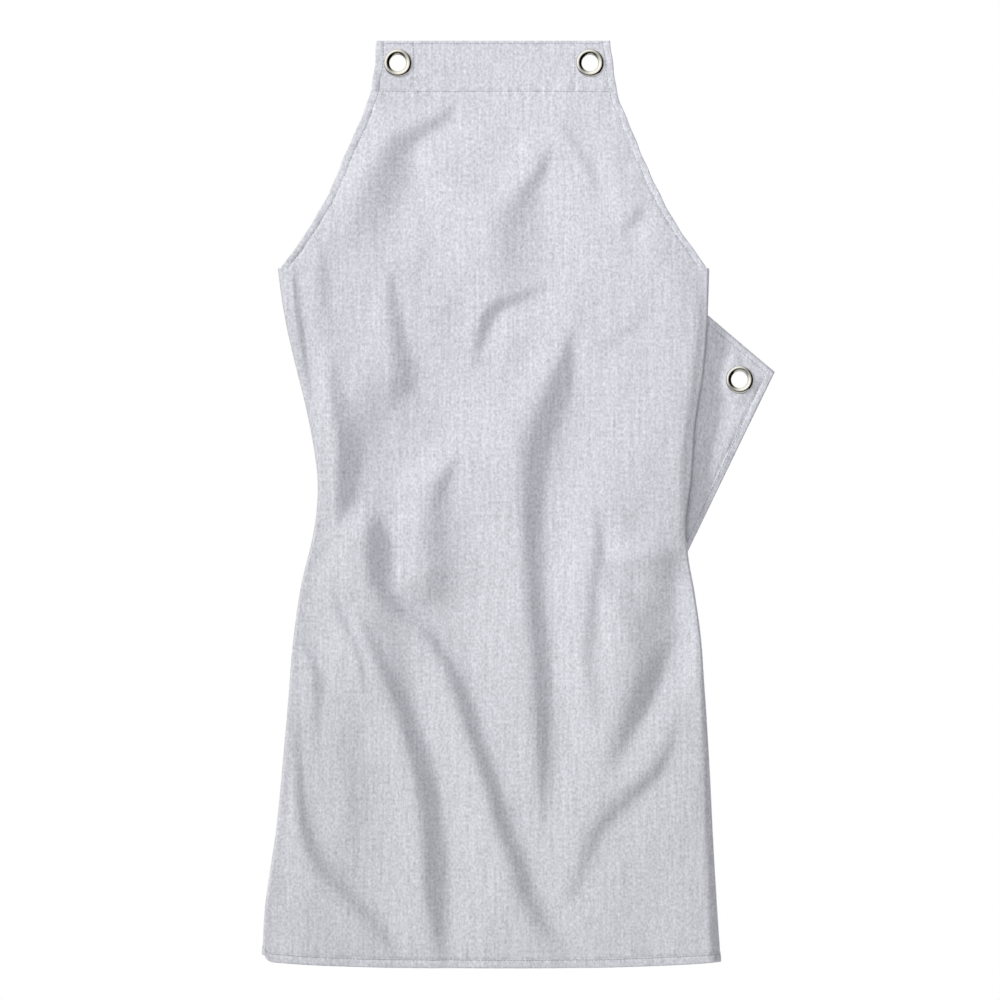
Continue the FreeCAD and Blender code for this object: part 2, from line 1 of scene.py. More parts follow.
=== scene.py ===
"""A cloth bib apron with set eyelets, hung flat.

Its cloth, hems, stitches and metal are built around the CAD frame. Sizes and places are in millimetres,
and new_object turns them into metres.
"""

import json
import math

import bmesh
import bpy
import numpy as np
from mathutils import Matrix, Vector, noise


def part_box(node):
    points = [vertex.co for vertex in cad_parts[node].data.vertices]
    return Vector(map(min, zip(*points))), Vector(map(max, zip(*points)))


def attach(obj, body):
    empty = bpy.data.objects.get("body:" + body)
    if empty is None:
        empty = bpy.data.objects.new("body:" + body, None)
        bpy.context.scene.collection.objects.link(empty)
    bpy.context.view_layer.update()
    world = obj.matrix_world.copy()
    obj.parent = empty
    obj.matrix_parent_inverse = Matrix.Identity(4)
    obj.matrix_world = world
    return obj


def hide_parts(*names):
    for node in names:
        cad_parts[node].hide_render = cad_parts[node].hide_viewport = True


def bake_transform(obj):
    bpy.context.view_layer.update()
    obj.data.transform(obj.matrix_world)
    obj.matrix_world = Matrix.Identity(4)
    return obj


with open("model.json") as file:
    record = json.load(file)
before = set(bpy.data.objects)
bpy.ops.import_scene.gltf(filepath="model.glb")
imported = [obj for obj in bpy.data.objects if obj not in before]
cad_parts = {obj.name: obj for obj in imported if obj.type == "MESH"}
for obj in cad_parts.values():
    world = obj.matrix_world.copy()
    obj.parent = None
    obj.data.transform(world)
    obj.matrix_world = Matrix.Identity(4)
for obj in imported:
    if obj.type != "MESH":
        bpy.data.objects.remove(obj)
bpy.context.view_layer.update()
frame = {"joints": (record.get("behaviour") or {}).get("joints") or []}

MM = 0.001
BODY = "apron_body"
SIDES = {1: "right", -1: "left"}

# ---------------------------------------------------------------- sizes


def box_mm(node):
    """The lowest and highest corner of a CAD node, in millimetres."""
    low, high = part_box(node)
    return [c / MM for c in low], [c / MM for c in high]


def middle_mm(node):
    """The middle of a CAD node's box, in millimetres."""
    low, high = box_mm(node)
    return [(a + b) / 2 for a, b in zip(low, high)]


PANEL_LOW, PANEL_HIGH = box_mm("front_panel")
WING_LOW, WING_HIGH = box_mm("wing_panel_right")
FOLD_HIGH = box_mm("side_fold_right")[1]
HINGE_JOINT = next(j for j in frame["joints"] if j["name"] == "right_wing_fold")

# Heights of the top edge, the armholes' lower corners, the facing's seam and the bottom edge.
TOP = PANEL_HIGH[2]
CORNER = FOLD_HIGH[2]
FACING_SEAM = box_mm("top_facing")[0][2]
BOTTOM = PANEL_LOW[2]
# Where the front cloth, the strips turned behind it and the wing that stands out lie in depth.
FRONT_Y = (PANEL_HIGH[1] + PANEL_LOW[1]) / 2
STRIP_Y = FOLD_HIGH[1] - (PANEL_HIGH[1] - PANEL_LOW[1]) / 2
FLAP_Y = (WING_LOW[1] + WING_HIGH[1]) / 2
# How thick the cloth is, and how far apart the middles of two plies lie.
CLOTH = 0.5
PLY = 0.62
HEM = 9.0
SEAM_INSET = 7.2
TOP_SEAM_INSET = 2.6
EYELET_SIDE = middle_mm("top_right_eyelet")[0]
# The radius of the hole in the cloth, under the eyelet's flange.
EYELET_HOLE = 9.4
PATCH_SEAM = middle_mm("corner_patch_seam_right")[0]
PATCH_EDGE = 75.8
# The right wing's hinge line, its length, and how far the tip lies outward from it and down along it.
HINGE = [c / MM for c in HINGE_JOINT["pos_m"]]
HINGE_AXIS = HINGE_JOINT["axis"]
HINGE_LENGTH = 486.3
WING_REACH = 99.7
WING_DROP = 51.75
# How square the rows of a wing stand to its hinge.
WING_SLANT = WING_REACH / math.hypot(WING_REACH, WING_DROP)

# Distances in from an edge where points lie closer together, out to the hem's own edge.
HEM_STEPS = [0, 1.0, 2.2, 3.6, 5.0, 6.2, SEAM_INSET, 8.2, 9.4]
HEM_COUNT = len(HEM_STEPS)
SEAM_STEP = HEM_STEPS.index(SEAM_INSET)
NEAR_EDGE = HEM_STEPS + [11.5]
# How many rows and columns the cloths have where they are evenly spaced.
MIDDLE_COLUMNS = 119
BIB_ROWS = 52
SKIRT_ROWS = 188
ROLL_STEPS = 6
STRIP_COLUMNS = 13
WING_COLUMNS = 34

# Where the outline stands at each height, right side then left: (height, distance from the middle).
ARMHOLE = {
    1: [(22, 112.0), (0, 114.5), (-30, 119.5), (-62, 131.5), (-97, 146.5), (-135, 164), (-170, 185.5),
        (-198, 205.5)],
    -1: [(22, 113.5), (0, 115), (-30, 119.5), (-62, 132), (-97, 147), (-135, 164), (-170, 185.5),
         (-198, 206)],
}
SKIRT = {
    1: [(-198, 205.5), (-250, 204), (-305, 199), (-346, 192.5), (-401, 188.5), (-448, 183), (-474, 185),
        (-510, 191.7), (-552, 197.5), (-602, 201), (-684, 206), (-784, 211), (-867, 216.6)],
    -1: [(-198, 206), (-250, 198), (-297, 187.5), (-330, 179), (-371, 170.6), (-402, 167), (-452, 171.5),
         (-506, 184), (-560, 191.5), (-602, 195), (-652, 199), (-734, 206.5), (-833, 219.5), (-867, 221)],
}
# The armholes' hems rope, so their edges waver: (size, grain, shift from one side to the other).
WAVERS = ((0.35, 4.1, 1), (0.3, 9.7, 2))
# How round the bottom edge's left corner is, how much of that rounding lifts the edge, and how far the
# edge rises at this distance from the middle.
CORNER_ROUND = 9.0
CORNER_LIFT = 0.7
HEM_RISE = 6.0
HEM_RISE_AT = 220

# ---------------------------------------------------------------- small maths


def smooth(t):
    """0 below 0 and 1 above 1, with a soft step between them."""
    t = np.clip(t, 0, 1)
    return t * t * (3 - 2 * t)


def bell(gap, width):
    """1 where gap is 0, falling away on both sides of it."""
    return np.exp(-((gap / width) ** 2))


def curve_through(points):
    """A smooth function of height through (height, value) points, highest first."""
    heights = np.array([p[0] for p in points], float)
    values = np.array([p[1] for p in points], float)
    slopes = np.gradient(values, heights)

    def at(height):
        height = np.asarray(height, float)
        i = np.clip(np.searchsorted(-heights, -height, side="right") - 1, 0, len(heights) - 2)
        span = heights[i + 1] - heights[i]
        t = np.clip((height - heights[i]) / span, 0, 1)
        return (
            (2 * t**3 - 3 * t**2 + 1) * values[i]
            + (t**3 - 2 * t**2 + t) * span * slopes[i]
            + (-2 * t**3 + 3 * t**2) * values[i + 1]
            + (t**3 - t**2) * span * slopes[i + 1]
        )

    return at


EDGE_ABOVE = {side: curve_through(ARMHOLE[side]) for side in SIDES}
EDGE_BELOW = {side: curve_through(SKIRT[side]) for side in SIDES}


def edge_x(side, height):
    """Where the outline is at a height, with its sign."""
    height = np.asarray(height, float)
    fade = np.clip((height - CORNER) / 20, 0, 1) * np.clip((TOP - height) / 10, 0, 1)
    waver = sum(size * np.sin(height / grain_size + shift * side) for size, grain_size, shift in WAVERS)
    above = EDGE_ABOVE[side](height) + waver * fade
    return side * np.where(height > CORNER, above, EDGE_BELOW[side](height))


def spline_point(a, b, c, d, t):
    """A point between b and c, t of the way, on the Catmull-Rom line through a, b, c and d."""
    return 0.5 * (
        2 * b + (c - a) * t + (2 * a - 5 * b + 4 * c - d) * t**2 + (3 * b - a - 3 * c + d) * t**3
    )


def smooth_path(points, steps=6):
    """An open Catmull-Rom line through points."""
    p = np.array(points, float)
    p = np.vstack([2 * p[0] - p[1], p, 2 * p[-1] - p[-2]])
    made = []
    for i in range(1, len(p) - 2):
        made += [spline_point(*p[i - 1 : i + 3], t) for t in np.arange(steps) / steps]
    made.append(p[-2])
    return np.array(made)


def rounded(points, steps=5):
    """A closed profile through points, rounded by a Catmull-Rom line."""
    p = np.array(points, float)
    made = []
    for i in range(len(p)):
        corners = [p[(i + k) % len(p)] for k in range(-1, 3)]
        made += [tuple(spline_point(*corners, t)) for t in np.arange(steps) / steps]
    return made


def along_path(x, z, path):
    """How far each point is from path, on which side, and how many steps along it the nearest point lies."""
    best = np.full(x.shape, 1e9)
    sign = np.zeros(x.shape)
    place = np.zeros(x.shape)
    for i in range(len(path) - 1):
        ax, az = path[i, :2]
        dx, dz = path[i + 1, :2] - path[i, :2]
        t = np.clip(((x - ax) * dx + (z - az) * dz) / (dx * dx + dz * dz), 0, 1)
        ox, oz = x - ax - t * dx, z - az - t * dz
        gap = np.hypot(ox, oz)
        nearer = gap < best
        best = np.where(nearer, gap, best)
        sign = np.where(nearer, np.sign(dx * oz - dz * ox), sign)
        place = np.where(nearer, i + t, place)
    return best, sign, place


def grain(x, z, size, seed, stretch=1.0):
    """Smooth noise from about -1 to 1 over a grid of points. size is its grain, stretch how much taller."""
    flat_x, flat_z = np.ravel(x) / size, np.ravel(z) / (size * stretch)
    values = [noise.noise(Vector((a, seed * 7.3, b))) for a, b in zip(flat_x, flat_z)]
    return np.array(values).reshape(np.shape(x)) * 1.4


def with_waves(relief, x, z, waves):
    """relief made uneven. waves are (height, grain, seed, stretch)."""
    for height, size, seed, stretch in waves:
        relief = relief + height * grain(x, z, size, seed, stretch)
    return relief


# ---------------------------------------------------------------- the folds of the front

# The light comes from the upper left, so the shaded flank of each fold faces this way.
SHADED = (0.87, -0.49)

# Each fold is a flank that turns away from the light: how far it leans (-1 has its sharp edge on the
# lit side, 1 on the shaded side), then points down its middle as (x, z, half width, slope).
FOLDS = [
    # bib
    (-0.3, [(-33, -36, 3, 0), (-47, -50, 5, 0.4), (-76, -67, 7, 0.44), (-93, -80, 14, 0.34),
            (-102, -103, 23, 0.25), (-114, -132, 25, 0.2), (-124, -160, 20, 0.12), (-134, -195, 10, 0)]),
    (0, [(-98, -50, 5, 0), (-120, -78, 7, -0.18), (-140, -112, 7, -0.2), (-158, -146, 6, 0)]),
    (-0.3, [(56, -74, 3, 0), (47, -98, 4, 0.38), (34, -120, 7, 0.38), (25, -140, 16, 0.26),
            (18, -166, 27, 0.19), (17, -198, 29, 0.18), (21, -232, 20, 0.08), (26, -268, 10, 0)]),
    (0, [(30, -60, 3, 0), (26, -80, 4, -0.14), (20, -102, 4, 0)]),
    (0, [(54, -44, 3, 0), (74, -72, 4, 0.22), (86, -91, 4, 0.24), (95, -113, 4, 0.16), (98, -136, 4, 0)]),
    (0, [(148, -136, 3, 0), (139, -146, 4, 0.3), (129, -156, 4, 0.24), (119, -163, 4, 0)]),
    (0, [(173, -172, 4, 0), (164, -187, 4, 0.1), (152, -200, 5, 0)]),
    (0, [(-163, -158, 6, 0), (-165, -190, 6, 0.24), (-164, -229, 7, 0.22), (-160, -250, 8, 0.1),
         (-156, -272, 8, 0)]),
    # chest
    (-0.2, [(-97, -198, 2, 0), (-99, -212, 4, 0.36), (-96, -246, 6, 0.44), (-91, -277, 9, 0.42),
            (-86, -306, 14, 0.4), (-88, -336, 20, 0.36), (-94, -362, 20, 0.2), (-102, -396, 12, 0)]),
    (0, [(-69, -172, 4, 0), (-72, -192, 5, 0.13), (-76, -214, 5, 0)]),
    (0, [(-36, -226, 5, 0), (-47, -240, 6, 0.08), (-58, -260, 6, 0)]),
    (-0.4, [(62, -206, 4, 0), (50, -213, 5, 0.16), (30, -223, 5, 0.36), (6, -231, 4, 0.52),
            (-6, -241, 3.5, 0.66), (-12, -257, 3, 0.66), (-18, -282, 3, 0.25), (-21, -304, 3, 0)]),
    (0, [(20, -250, 5, 0), (20, -276, 6, 0.1), (18, -306, 6, 0)]),
    (0, [(158, -230, 3, 0), (139, -248, 4, 0.13), (124, -262, 4, 0.13), (100, -279, 6, 0.06),
         (84, -290, 6, 0)]),
    # waist
    (-0.5, [(-157, -280, 2, 0), (-156, -300, 5, 0.4), (-153, -330, 13, 0.52), (-147, -366, 17, 0.58),
            (-146, -408, 17, 0.58), (-149, -432, 10, 0.5), (-151, -446, 4, 0.25), (-153, -455, 3, 0)]),
    (0, [(-126, -285, 10, 0), (-118, -326, 16, 0.3), (-113, -370, 17, 0.3), (-108, -415, 12, 0)]),
    (-0.3, [(76, -248, 2, 0), (72, -268, 4, 0.36), (64, -302, 11, 0.46), (52, -336, 18, 0.44),
            (41, -372, 18, 0.44), (36, -412, 13, 0.46), (35, -450, 11, 0.48), (37, -504, 10, 0.48),
            (41, -552, 10, 0.5), (44, -600, 9, 0.5), (46, -649, 8, 0.46), (46, -692, 7, 0.36),
            (46, -728, 6, 0.18), (45, -756, 6, 0)]),
    (-0.3, [(-34, -376, 2, 0), (-43, -392, 4, 0.4), (-51, -408, 8, 0.38), (-56, -430, 12, 0.3),
            (-57, -456, 19, 0.3), (-55, -489, 24, 0.28), (-53, -516, 24, 0.26), (-51, -542, 16, 0.12),
            (-50, -585, 10, 0)]),
    (0, [(98, -420, 2, 0), (101, -452, 4, 0.28), (100, -480, 6, 0.38), (97, -518, 8, 0.4),
         (93, -567, 9, 0.38), (96, -605, 9, 0.28), (98, -644, 6, 0.08), (98, -690, 6, 0)]),
    (0, [(134, -414, 4, 0), (131, -440, 4, 0.1), (124, -464, 4, 0.1), (116, -476, 4, 0)]),
    (0, [(-141, -456, 2, 0), (-158, -461, 3, 0.2), (-171, -477, 3, 0.22), (-179, -494, 3, 0)]),
    # hips
    (-0.7, [(106, -481, 5, 0), (122, -482, 11, 0.3), (146, -480, 12, 0.3), (172, -478, 10, 0.2),
            (194, -474, 8, 0)]),
    (0, [(108, -474, 5, 0), (107, -510, 8, -0.22), (105, -560, 8, -0.18), (101, -612, 6, 0)]),
    (-0.2, [(-113, -404, 3, 0), (-114, -430, 8, 0.5), (-115, -456, 10, 0.68), (-115, -482, 10, 0.72),
            (-109, -509, 9, 0.62), (-90, -531, 8, 0.68), (-66, -548, 8, 0.68), (-48, -574, 8, 0.62),
            (-32, -610, 7.5, 0.62), (-18, -654, 7.5, 0.62), (-3, -697, 7.5, 0.64), (6, -731, 8, 0.64),
            (20, -765, 9, 0.52), (30, -799, 10, 0.46), (47, -832, 9, 0.3), (64, -852, 7, 0.15),
            (72, -866, 6, 0)]),
    (0, [(-120, -516, 10, 0), (-104, -548, 17, 0.3), (-88, -578, 18, 0.28), (-74, -612, 12, 0)]),
    (-0.2, [(-163, -508, 2, 0), (-151, -528, 3.5, 0.4), (-139, -552, 3.5, 0.52), (-130, -576, 3, 0.6),
            (-126, -597, 2, 0.34), (-123, -614, 2, 0)]),
    (-0.2, [(-134, -514, 2, 0), (-128, -534, 4, 0.34), (-119, -558, 6, 0.48), (-104, -588, 7, 0.54),
            (-90, -620, 8.5, 0.6), (-76, -663, 9, 0.62), (-66, -702, 9, 0.62), (-61, -750, 9, 0.6),
            (-59, -799, 9, 0.58), (-54, -837, 8, 0.42), (-51, -862, 7, 0.2), (-50, -880, 6, 0)]),
    (-0.2, [(-194, -548, 2, 0), (-187, -558, 3, 0.4), (-177, -576, 4, 0.5), (-170, -598, 4.5, 0.46),
            (-172, -634, 5, 0.22), (-173, -673, 5, 0.15), (-175, -706, 5, 0)]),
    (-0.2, [(-190, -622, 2, 0), (-191, -650, 4, 0.34), (-190, -680, 5, 0.46), (-188, -712, 6, 0.52),
            (-180, -750, 7, 0.5), (-163, -784, 8, 0.48), (-139, -808, 8, 0.46), (-114, -832, 8, 0.4),
            (-100, -857, 6, 0.14), (-92, -876, 5, 0)]),
    (0, [(-144, -600, 10, 0), (-140, -650, 12, 0.1), (-136, -710, 13, 0.12), (-138, -770, 12, 0.08),
         (-142, -806, 10, 0)]),
    (0.2, [(186, -468, 14, 0), (176, -492, 22, 0.22), (158, -524, 30, 0.28), (144, -560, 28, 0.27),
           (134, -600, 20, 0.2), (124, -642, 14, 0)]),
    (0, [(122, -488, 3, 0), (127, -506, 4, 0.15), (134, -534, 5, 0)]),
    (0.5, [(188, -536, 3, 0), (173, -558, 6, 0.2), (156, -590, 9, 0.4), (138, -628, 10, 0.44),
           (122, -662, 8, 0.28), (108, -694, 6, 0)]),
    (0.2, [(176, -622, 4, 0), (170, -658, 6, 0.22), (156, -686, 7, 0.38), (137, -704, 7, 0.38),
           (113, -726, 8, 0.36), (96, -750, 8, 0.28), (79, -794, 8, 0.2), (58, -826, 6, 0)]),
    (0, [(30, -706, 5, 0), (22, -718, 7, 0.12), (12, -736, 6, 0)]),
]
# Creases close beside the turned sides, written the same way.
SIDE_FOLDS = [
    (0, [(201, -208, 3, 0), (200, -250, 4, 0.26), (194.5, -310, 4.5, 0.34), (186.5, -370, 4.5, 0.34),
         (184, -430, 4, 0.3), (181, -474, 3, 0.12), (184, -505, 3, 0)]),
    (0, [(-193, -192, 1.5, 0), (-192, -210, 2, 0.75), (-188, -250, 2, 0.8), (-182, -290, 2, 0.55),
         (-173, -335, 2, 0.12), (-168, -368, 2, 0)]),
    (0, [(199, -528, 2, 0), (200, -570, 2.5, 0.3), (203, -640, 3, 0.4), (207, -730, 3.5, 0.45),
         (211, -810, 4, 0.5), (214, -872, 4, 0.5)]),
]
FIRMNESS = 1.5
# How far past its flank a fold is felt, by its width, and the most that this may be.
REACH = 14
REACH_BY_WIDTH = 2.2
FURTHEST_REACH = 54
# How much narrower a leaning fold is on its sharp side, and wider on the other.
LEAN = 0.8
# How far the folds may stand behind and in front of the cloth's plane, and how square that limit is.
LIMIT_BEHIND = 8.5
LIMIT_BEFORE = 10.5
LIMIT_POWER = 5
# How far the middle of the apron swells forward, how much the folds fade beside the turned sides, and how
# much of them is left in the stiff band with the facing behind it.
SWELL = 3.0
SIDE_FADE = 0.6
BAND_FOLDS = 0.12
# How proud a turned hem stands, how high its roping is, how deep stitches pull the cloth in, and how much
# it puckers beside them, on the front and on a wing.
HEM_PROUD = 0.35
ROPE = 0.26
PULL = 1.2
PUCKER = 0.75
WING_PROUD = 0.5
WING_PULL = 0.9
WING_PUCKER = 0.9
FRONT_WAVES = ((0.9, 64, 1, 1.7), (0.42, 22, 2, 2.2), (0.11, 8, 3, 2.5))


def fold_relief(x, z, folds):
    """How far folds lift the cloth towards its face at each point."""
    total = np.zeros(np.shape(x))
    for lean, points in folds:
        path = smooth_path(points)
        margin = 3 * (REACH + REACH_BY_WIDTH * path[:, 2].max())
        low, high = path[:, :2].min(axis=0) - margin, path[:, :2].max(axis=0) + margin
        near = (x > low[0]) & (x < high[0]) & (z > low[1]) & (z < high[1])
        if not near.any():
            continue
        gap, sign, place = along_path(x[near], z[near], path)
        width = np.interp(place, np.arange(len(path)), path[:, 2])
        slope = np.interp(place, np.arange(len(path)), path[:, 3])
        run = path[-1, :2] - path[0, :2]
        outward = 1 if -run[1] * SHADED[0] + run[0] * SHADED[1] > 0 else -1
        gap = gap * sign * outward
        width = width * (1 + lean * np.where(gap < 0, 1, -1) * LEAN)
        reach = np.minimum(REACH + REACH_BY_WIDTH * width, FURTHEST_REACH)
        total[near] -= FIRMNESS * slope * width * np.tanh(gap / width) * bell(gap, reach)
    return total


def turned_hem(gap):
    """1 over the turned width of a hem whose edge is gap away, and 0 past its seam."""
    return smooth((SEAM_INSET + 1 - gap) / 2.0) * smooth(gap / 1.2)


def edge_distance(x, z):
    """How far inside the outline a point of the front is, measured across."""
    return np.minimum(edge_x(1, z) - x, x - edge_x(-1, z))


def front_relief(x, z):
    """How far the front cloth stands towards the viewer."""
    x, z = np.broadcast_arrays(np.asarray(x, float), np.asarray(z, float))
    folds = with_waves(fold_relief(x, z, FOLDS), x, z, FRONT_WAVES)
    limit = np.where(folds > 0, LIMIT_BEFORE, LIMIT_BEHIND)
    folds = folds / (1 + np.abs(folds / limit) ** LIMIT_POWER) ** (1 / LIMIT_POWER)
    inside = edge_distance(x, z)
    skirt = smooth((CORNER - z + 20) / 60)
    calm_side = 1 - skirt * (1 - smooth(inside / 22)) * SIDE_FADE
    calm_top = BAND_FOLDS + (1 - BAND_FOLDS) * smooth((TOP - z - 20) / 70)
    relief = folds * calm_side * calm_top + fold_relief(x, z, SIDE_FOLDS)
    relief = relief + SWELL * smooth(inside / 40) * smooth((TOP - z - 40) / 120)
    hem_gap = np.where(z > CORNER, inside, 99.0)
    base_gap = z - BOTTOM
    patch_gap = np.where(z > FACING_SEAM, np.abs(np.abs(x) - PATCH_SEAM), 99.0)
    # Turned hems stand a ply proud and rope a little; every row of stitches pulls the cloth in.
    roping = 0.6 + grain(x, z, 30, 31)
    for gap, twist in ((hem_gap, z + 0.6 * x), (base_gap, x + 0.8 * z)):
        rope = ROPE * np.sin(twist / 1.9 + 2.2 * np.sin(twist / 19)) * roping
        relief = relief + HEM_PROUD * turned_hem(gap) + rope * bell(gap - 4.0, 3.2)
    tension = 0.75 + 0.9 * grain(x, z, 13, 22)
    pucker = PUCKER * grain(x, z, 5.0, 21)
    for gap in (hem_gap - SEAM_INSET, base_gap - SEAM_INSET, z - FACING_SEAM, patch_gap):
        relief = relief - PULL * bell(gap, 1.3) * tension + pucker * bell(gap, 5.0)
    for side in SIDES:
        from_eyelet = np.hypot(x - side * EYELET_SIDE, z)
        relief = relief * smooth((from_eyelet - 13) / 14)
    return relief


def front_point(x, z, behind=0.0):
    """Points of the front cloth, or of a ply that lies so far behind it."""
    x, z = np.broadcast_arrays(np.asarray(x, float), np.asarray(z, float))
    y = FRONT_Y - front_relief(x, z) + behind
    return np.stack([x, y, z], axis=-1)


# ---------------------------------------------------------------- meshes

# Points this near each other, in metres, are one point.
SAME_PLACE = 1e-6
# How far in front of and behind a hole's centre its cloth may lie, and how much wider than the hole the
# ring of points is that its rim takes in.
HOLE_DEPTH = 4
RIM_SPREAD = 1.5


def new_object(name, verts, faces, uvs=None):
    """A mesh object from points in millimetres. uvs are places in the flat cloth, in millimetres too."""
    mesh = bpy.data.meshes.new(name)
    mesh.from_pydata([tuple(v * MM for v in p) for p in verts], [], faces)
    mesh.update()
    if uvs is not None:
        layer = mesh.uv_layers.new(name="Cloth")
        loops = np.empty(len(mesh.loops), np.int32)
        mesh.loops.foreach_get("vertex_index", loops)
        layer.data.foreach_set("uv", (np.asarray(uvs)[loops] * MM).ravel())
    obj = bpy.data.objects.new(name, mesh)
    bpy.context.collection.objects.link(obj)
    mesh.shade_smooth()
    return obj


def grid_faces(rows, cols, start=0):
    """The four-sided faces of a grid of points, whose first point has the number start."""
    faces = []
    for r in range(rows - 1):
        for c in range(cols - 1):
            a = start + r * cols + c
            faces.append((a, a + 1, a + cols + 1, a + cols))
    return faces


def tidy_mesh(obj, holes=()):
    """Merges doubled points, opens round holes, and removes loose points. holes are (x, y, z)."""
    bm = bmesh.new()
    bm.from_mesh(obj.data)
    bmesh.ops.remove_doubles(bm, verts=bm.verts, dist=SAME_PLACE)
    radius = EYELET_HOLE * MM
    for hole in holes:
        centre = Vector(hole) * MM

        def flat_gap(place):
            offset = place - centre
            return math.hypot(offset.x, offset.z) if abs(offset.y) < HOLE_DEPTH * MM else 1.0

        gone = [f for f in bm.faces if flat_gap(f.calc_center_median()) < radius]
        bmesh.ops.delete(bm, geom=gone, context="FACES")
        for v in bm.verts:
            gap = flat_gap(v.co)
            if v.link_faces and v.is_boundary and 0 < gap < radius * RIM_SPREAD:
                v.co.x = centre.x + (v.co.x - centre.x) * radius / gap
                v.co.z = centre.z + (v.co.z - centre.z) * radius / gap
    bmesh.ops.dissolve_degenerate(bm, dist=SAME_PLACE, edges=bm.edges)
    loose = [v for v in bm.verts if not v.link_faces]
    bmesh.ops.delete(bm, geom=loose, context="VERTS")
    bm.to_mesh(obj.data)
    bm.free()
    obj.data.shade_smooth()


def make_cloth(name, verts, faces, flat, holes=()):
    """A cloth of the right thickness from points, with eyelet holes in it."""
    obj = new_object(name, verts, faces, flat)
    tidy_mesh(obj, holes)
    solid = obj.modifiers.new("thickness", "SOLIDIFY")
    solid.thickness = CLOTH * MM
    solid.offset = 0.0
    return obj


def grid_cloth(name, points, flat, holes=()):
    """A cloth from a grid of points."""
    faces = grid_faces(*points.shape[:2])
    return make_cloth(name, points.reshape(-1, 3), faces, flat.reshape(-1, 2), holes)


# ---------------------------------------------------------------- hinge lines of the wings


def hinge_frame(side):
    """The top of a wing's hinge line, the way down along it and the way inward from it, in X and Z."""
    top = np.array([side * HINGE[0], HINGE[2]])
    down = np.array([-side * HINGE_AXIS[0], -HINGE_AXIS[2]])
    inward = np.array([-side * HINGE_AXIS[2], HINGE_AXIS[0]])
    return top, down, inward


def hinge_line(side, share):
    """Points that lie share of the way down a wing's hinge line."""
    top, down, _ = hinge_frame(side)
    return top + np.outer(np.atleast_1d(share), down) * HINGE_LENGTH


def wing_edge(side, share, out):
    """The wing's free side edge, folded out for out of 1 and folded in for out of -1."""
    top, down, inward = hinge_frame(side)
    tip = top + down * WING_DROP - inward * WING_REACH * out
    foot = top + down * HINGE_LENGTH
    return tip + (foot - tip) * np.atleast_1d(share)[:, None]


# ---------------------------------------------------------------- the main cloth

# Depths of the rows of the band with the facing, closer together at its edge and its seam.
BAND_ROWS = [0, 1.0, 2.2, 3.4, 5, 8, 11, *range(14, 46, 3), 46.6, 48.0, 49.0, 50.0, 51.4, 53.5]
BIB_DEPTHS = np.array(BAND_ROWS + list(np.linspace(56.5, TOP - CORNER, BIB_ROWS)))
SKIRT_LENGTH = CORNER - BOTTOM
# Where the skirt's evenly spaced rows end, above the closer ones of the bottom hem.
SKIRT_EVEN = SKIRT_LENGTH - 14
SKIRT_DEPTHS = np.array(
    list(np.linspace(0, SKIRT_EVEN, SKIRT_ROWS)) + [SKIRT_LENGTH - gap for gap in NEAR_EDGE[::-1]]
)
# How much of a strip's inner edge lies beside the hinge, the last row there, and each row's place on it.
HINGE_SHARE = HINGE_LENGTH * HINGE_AXIS[2] / (HINGE[2] - BOTTOM)
HINGE_ROW = int(round((len(SKIRT_DEPTHS) - len(NEAR_EDGE)) * HINGE_SHARE))
ALONG_HINGE = np.arange(HINGE_ROW + 1) / HINGE_ROW
# How far a strip's inner edge stays outside the top of its hinge, and above the front's bottom edge.
SEAM_MARGIN = 6.0
STRIP_LIFT = 2.0
# A rolled side bulges out by this share of a half circle, and its cloth is this share as long.
ROLL_BULGE = 0.55
ROLL_LENGTH = 0.85


def hem_curve(x):
    """How far the bottom edge stands above its lowest level. Its left corner is rounded."""
    round_left = np.clip(CORNER_ROUND - (x - edge_x(-1, BOTTOM)), 0, CORNER_ROUND)
    lift = CORNER_ROUND - np.sqrt(CORNER_ROUND**2 - round_left**2)
    return HEM_RISE * (np.abs(x) / HEM_RISE_AT) ** 3 + CORNER_LIFT * lift


def across(z):
    """The X of every column of the front at heights z."""
    left, right = edge_x(-1, z)[:, None], edge_x(1, z)[:, None]
    near = np.array(NEAR_EDGE)[None, :]
    first = left + near
    last = right - near[:, ::-1]
    share = np.linspace(0, 1, MIDDLE_COLUMNS + 2)[1:-1][None, :]
    middle = first[:, -1:] + (last[:, :1] - first[:, -1:]) * share
    return np.hstack([first, middle, last])


def front_grid(depths):
    """Positions of the front cloth for rows that far below the top edge."""
    heights = TOP - depths
    x, z = across(heights), heights[:, None]
    points = front_point(x, z)
    points[..., 2] += hem_curve(x) * smooth((CORNER - z) / SKIRT_LENGTH) ** 3
    return points


def inner_edge(side):
    """The inner edge of a back strip, row by row: beside the hinge, then straight down."""
    inward = hinge_frame(side)[2]
    beside = hinge_line(side, ALONG_HINGE) - inward * (SEAM_MARGIN * (1 - ALONG_HINGE))[:, None]
    foot = beside[-1]
    below = SKIRT_DEPTHS[HINGE_ROW + 1 :] - SKIRT_DEPTHS[HINGE_ROW]
    below = below / below[-1] * (foot[1] - BOTTOM - STRIP_LIFT)
    straight = np.stack([np.full(len(below), foot[0]), foot[1] - below], axis=-1)
    return np.vstack([beside, straight])


# Folds of the two back strips, written for the right one.
STRIP_FOLDS = [
    (0, [(168, -430, 4, 0), (160, -500, 6, 0.3), (150, -600, 7, 0.34), (148, -700, 7, 0.3),
         (150, -790, 6, 0)]),
    (0, [(186, -520, 4, 0), (184, -600, 5, 0.25), (180, -700, 6, 0.28), (184, -800, 5, 0)]),
    (0, [(112, -640, 4, 0), (108, -720, 5, 0.25), (114, -800, 6, 0.28), (122, -850, 5, 0)]),
    (0, [(186, -300, 4, 0), (178, -360, 5, 0.25), (166, -440, 5, 0)]),
]


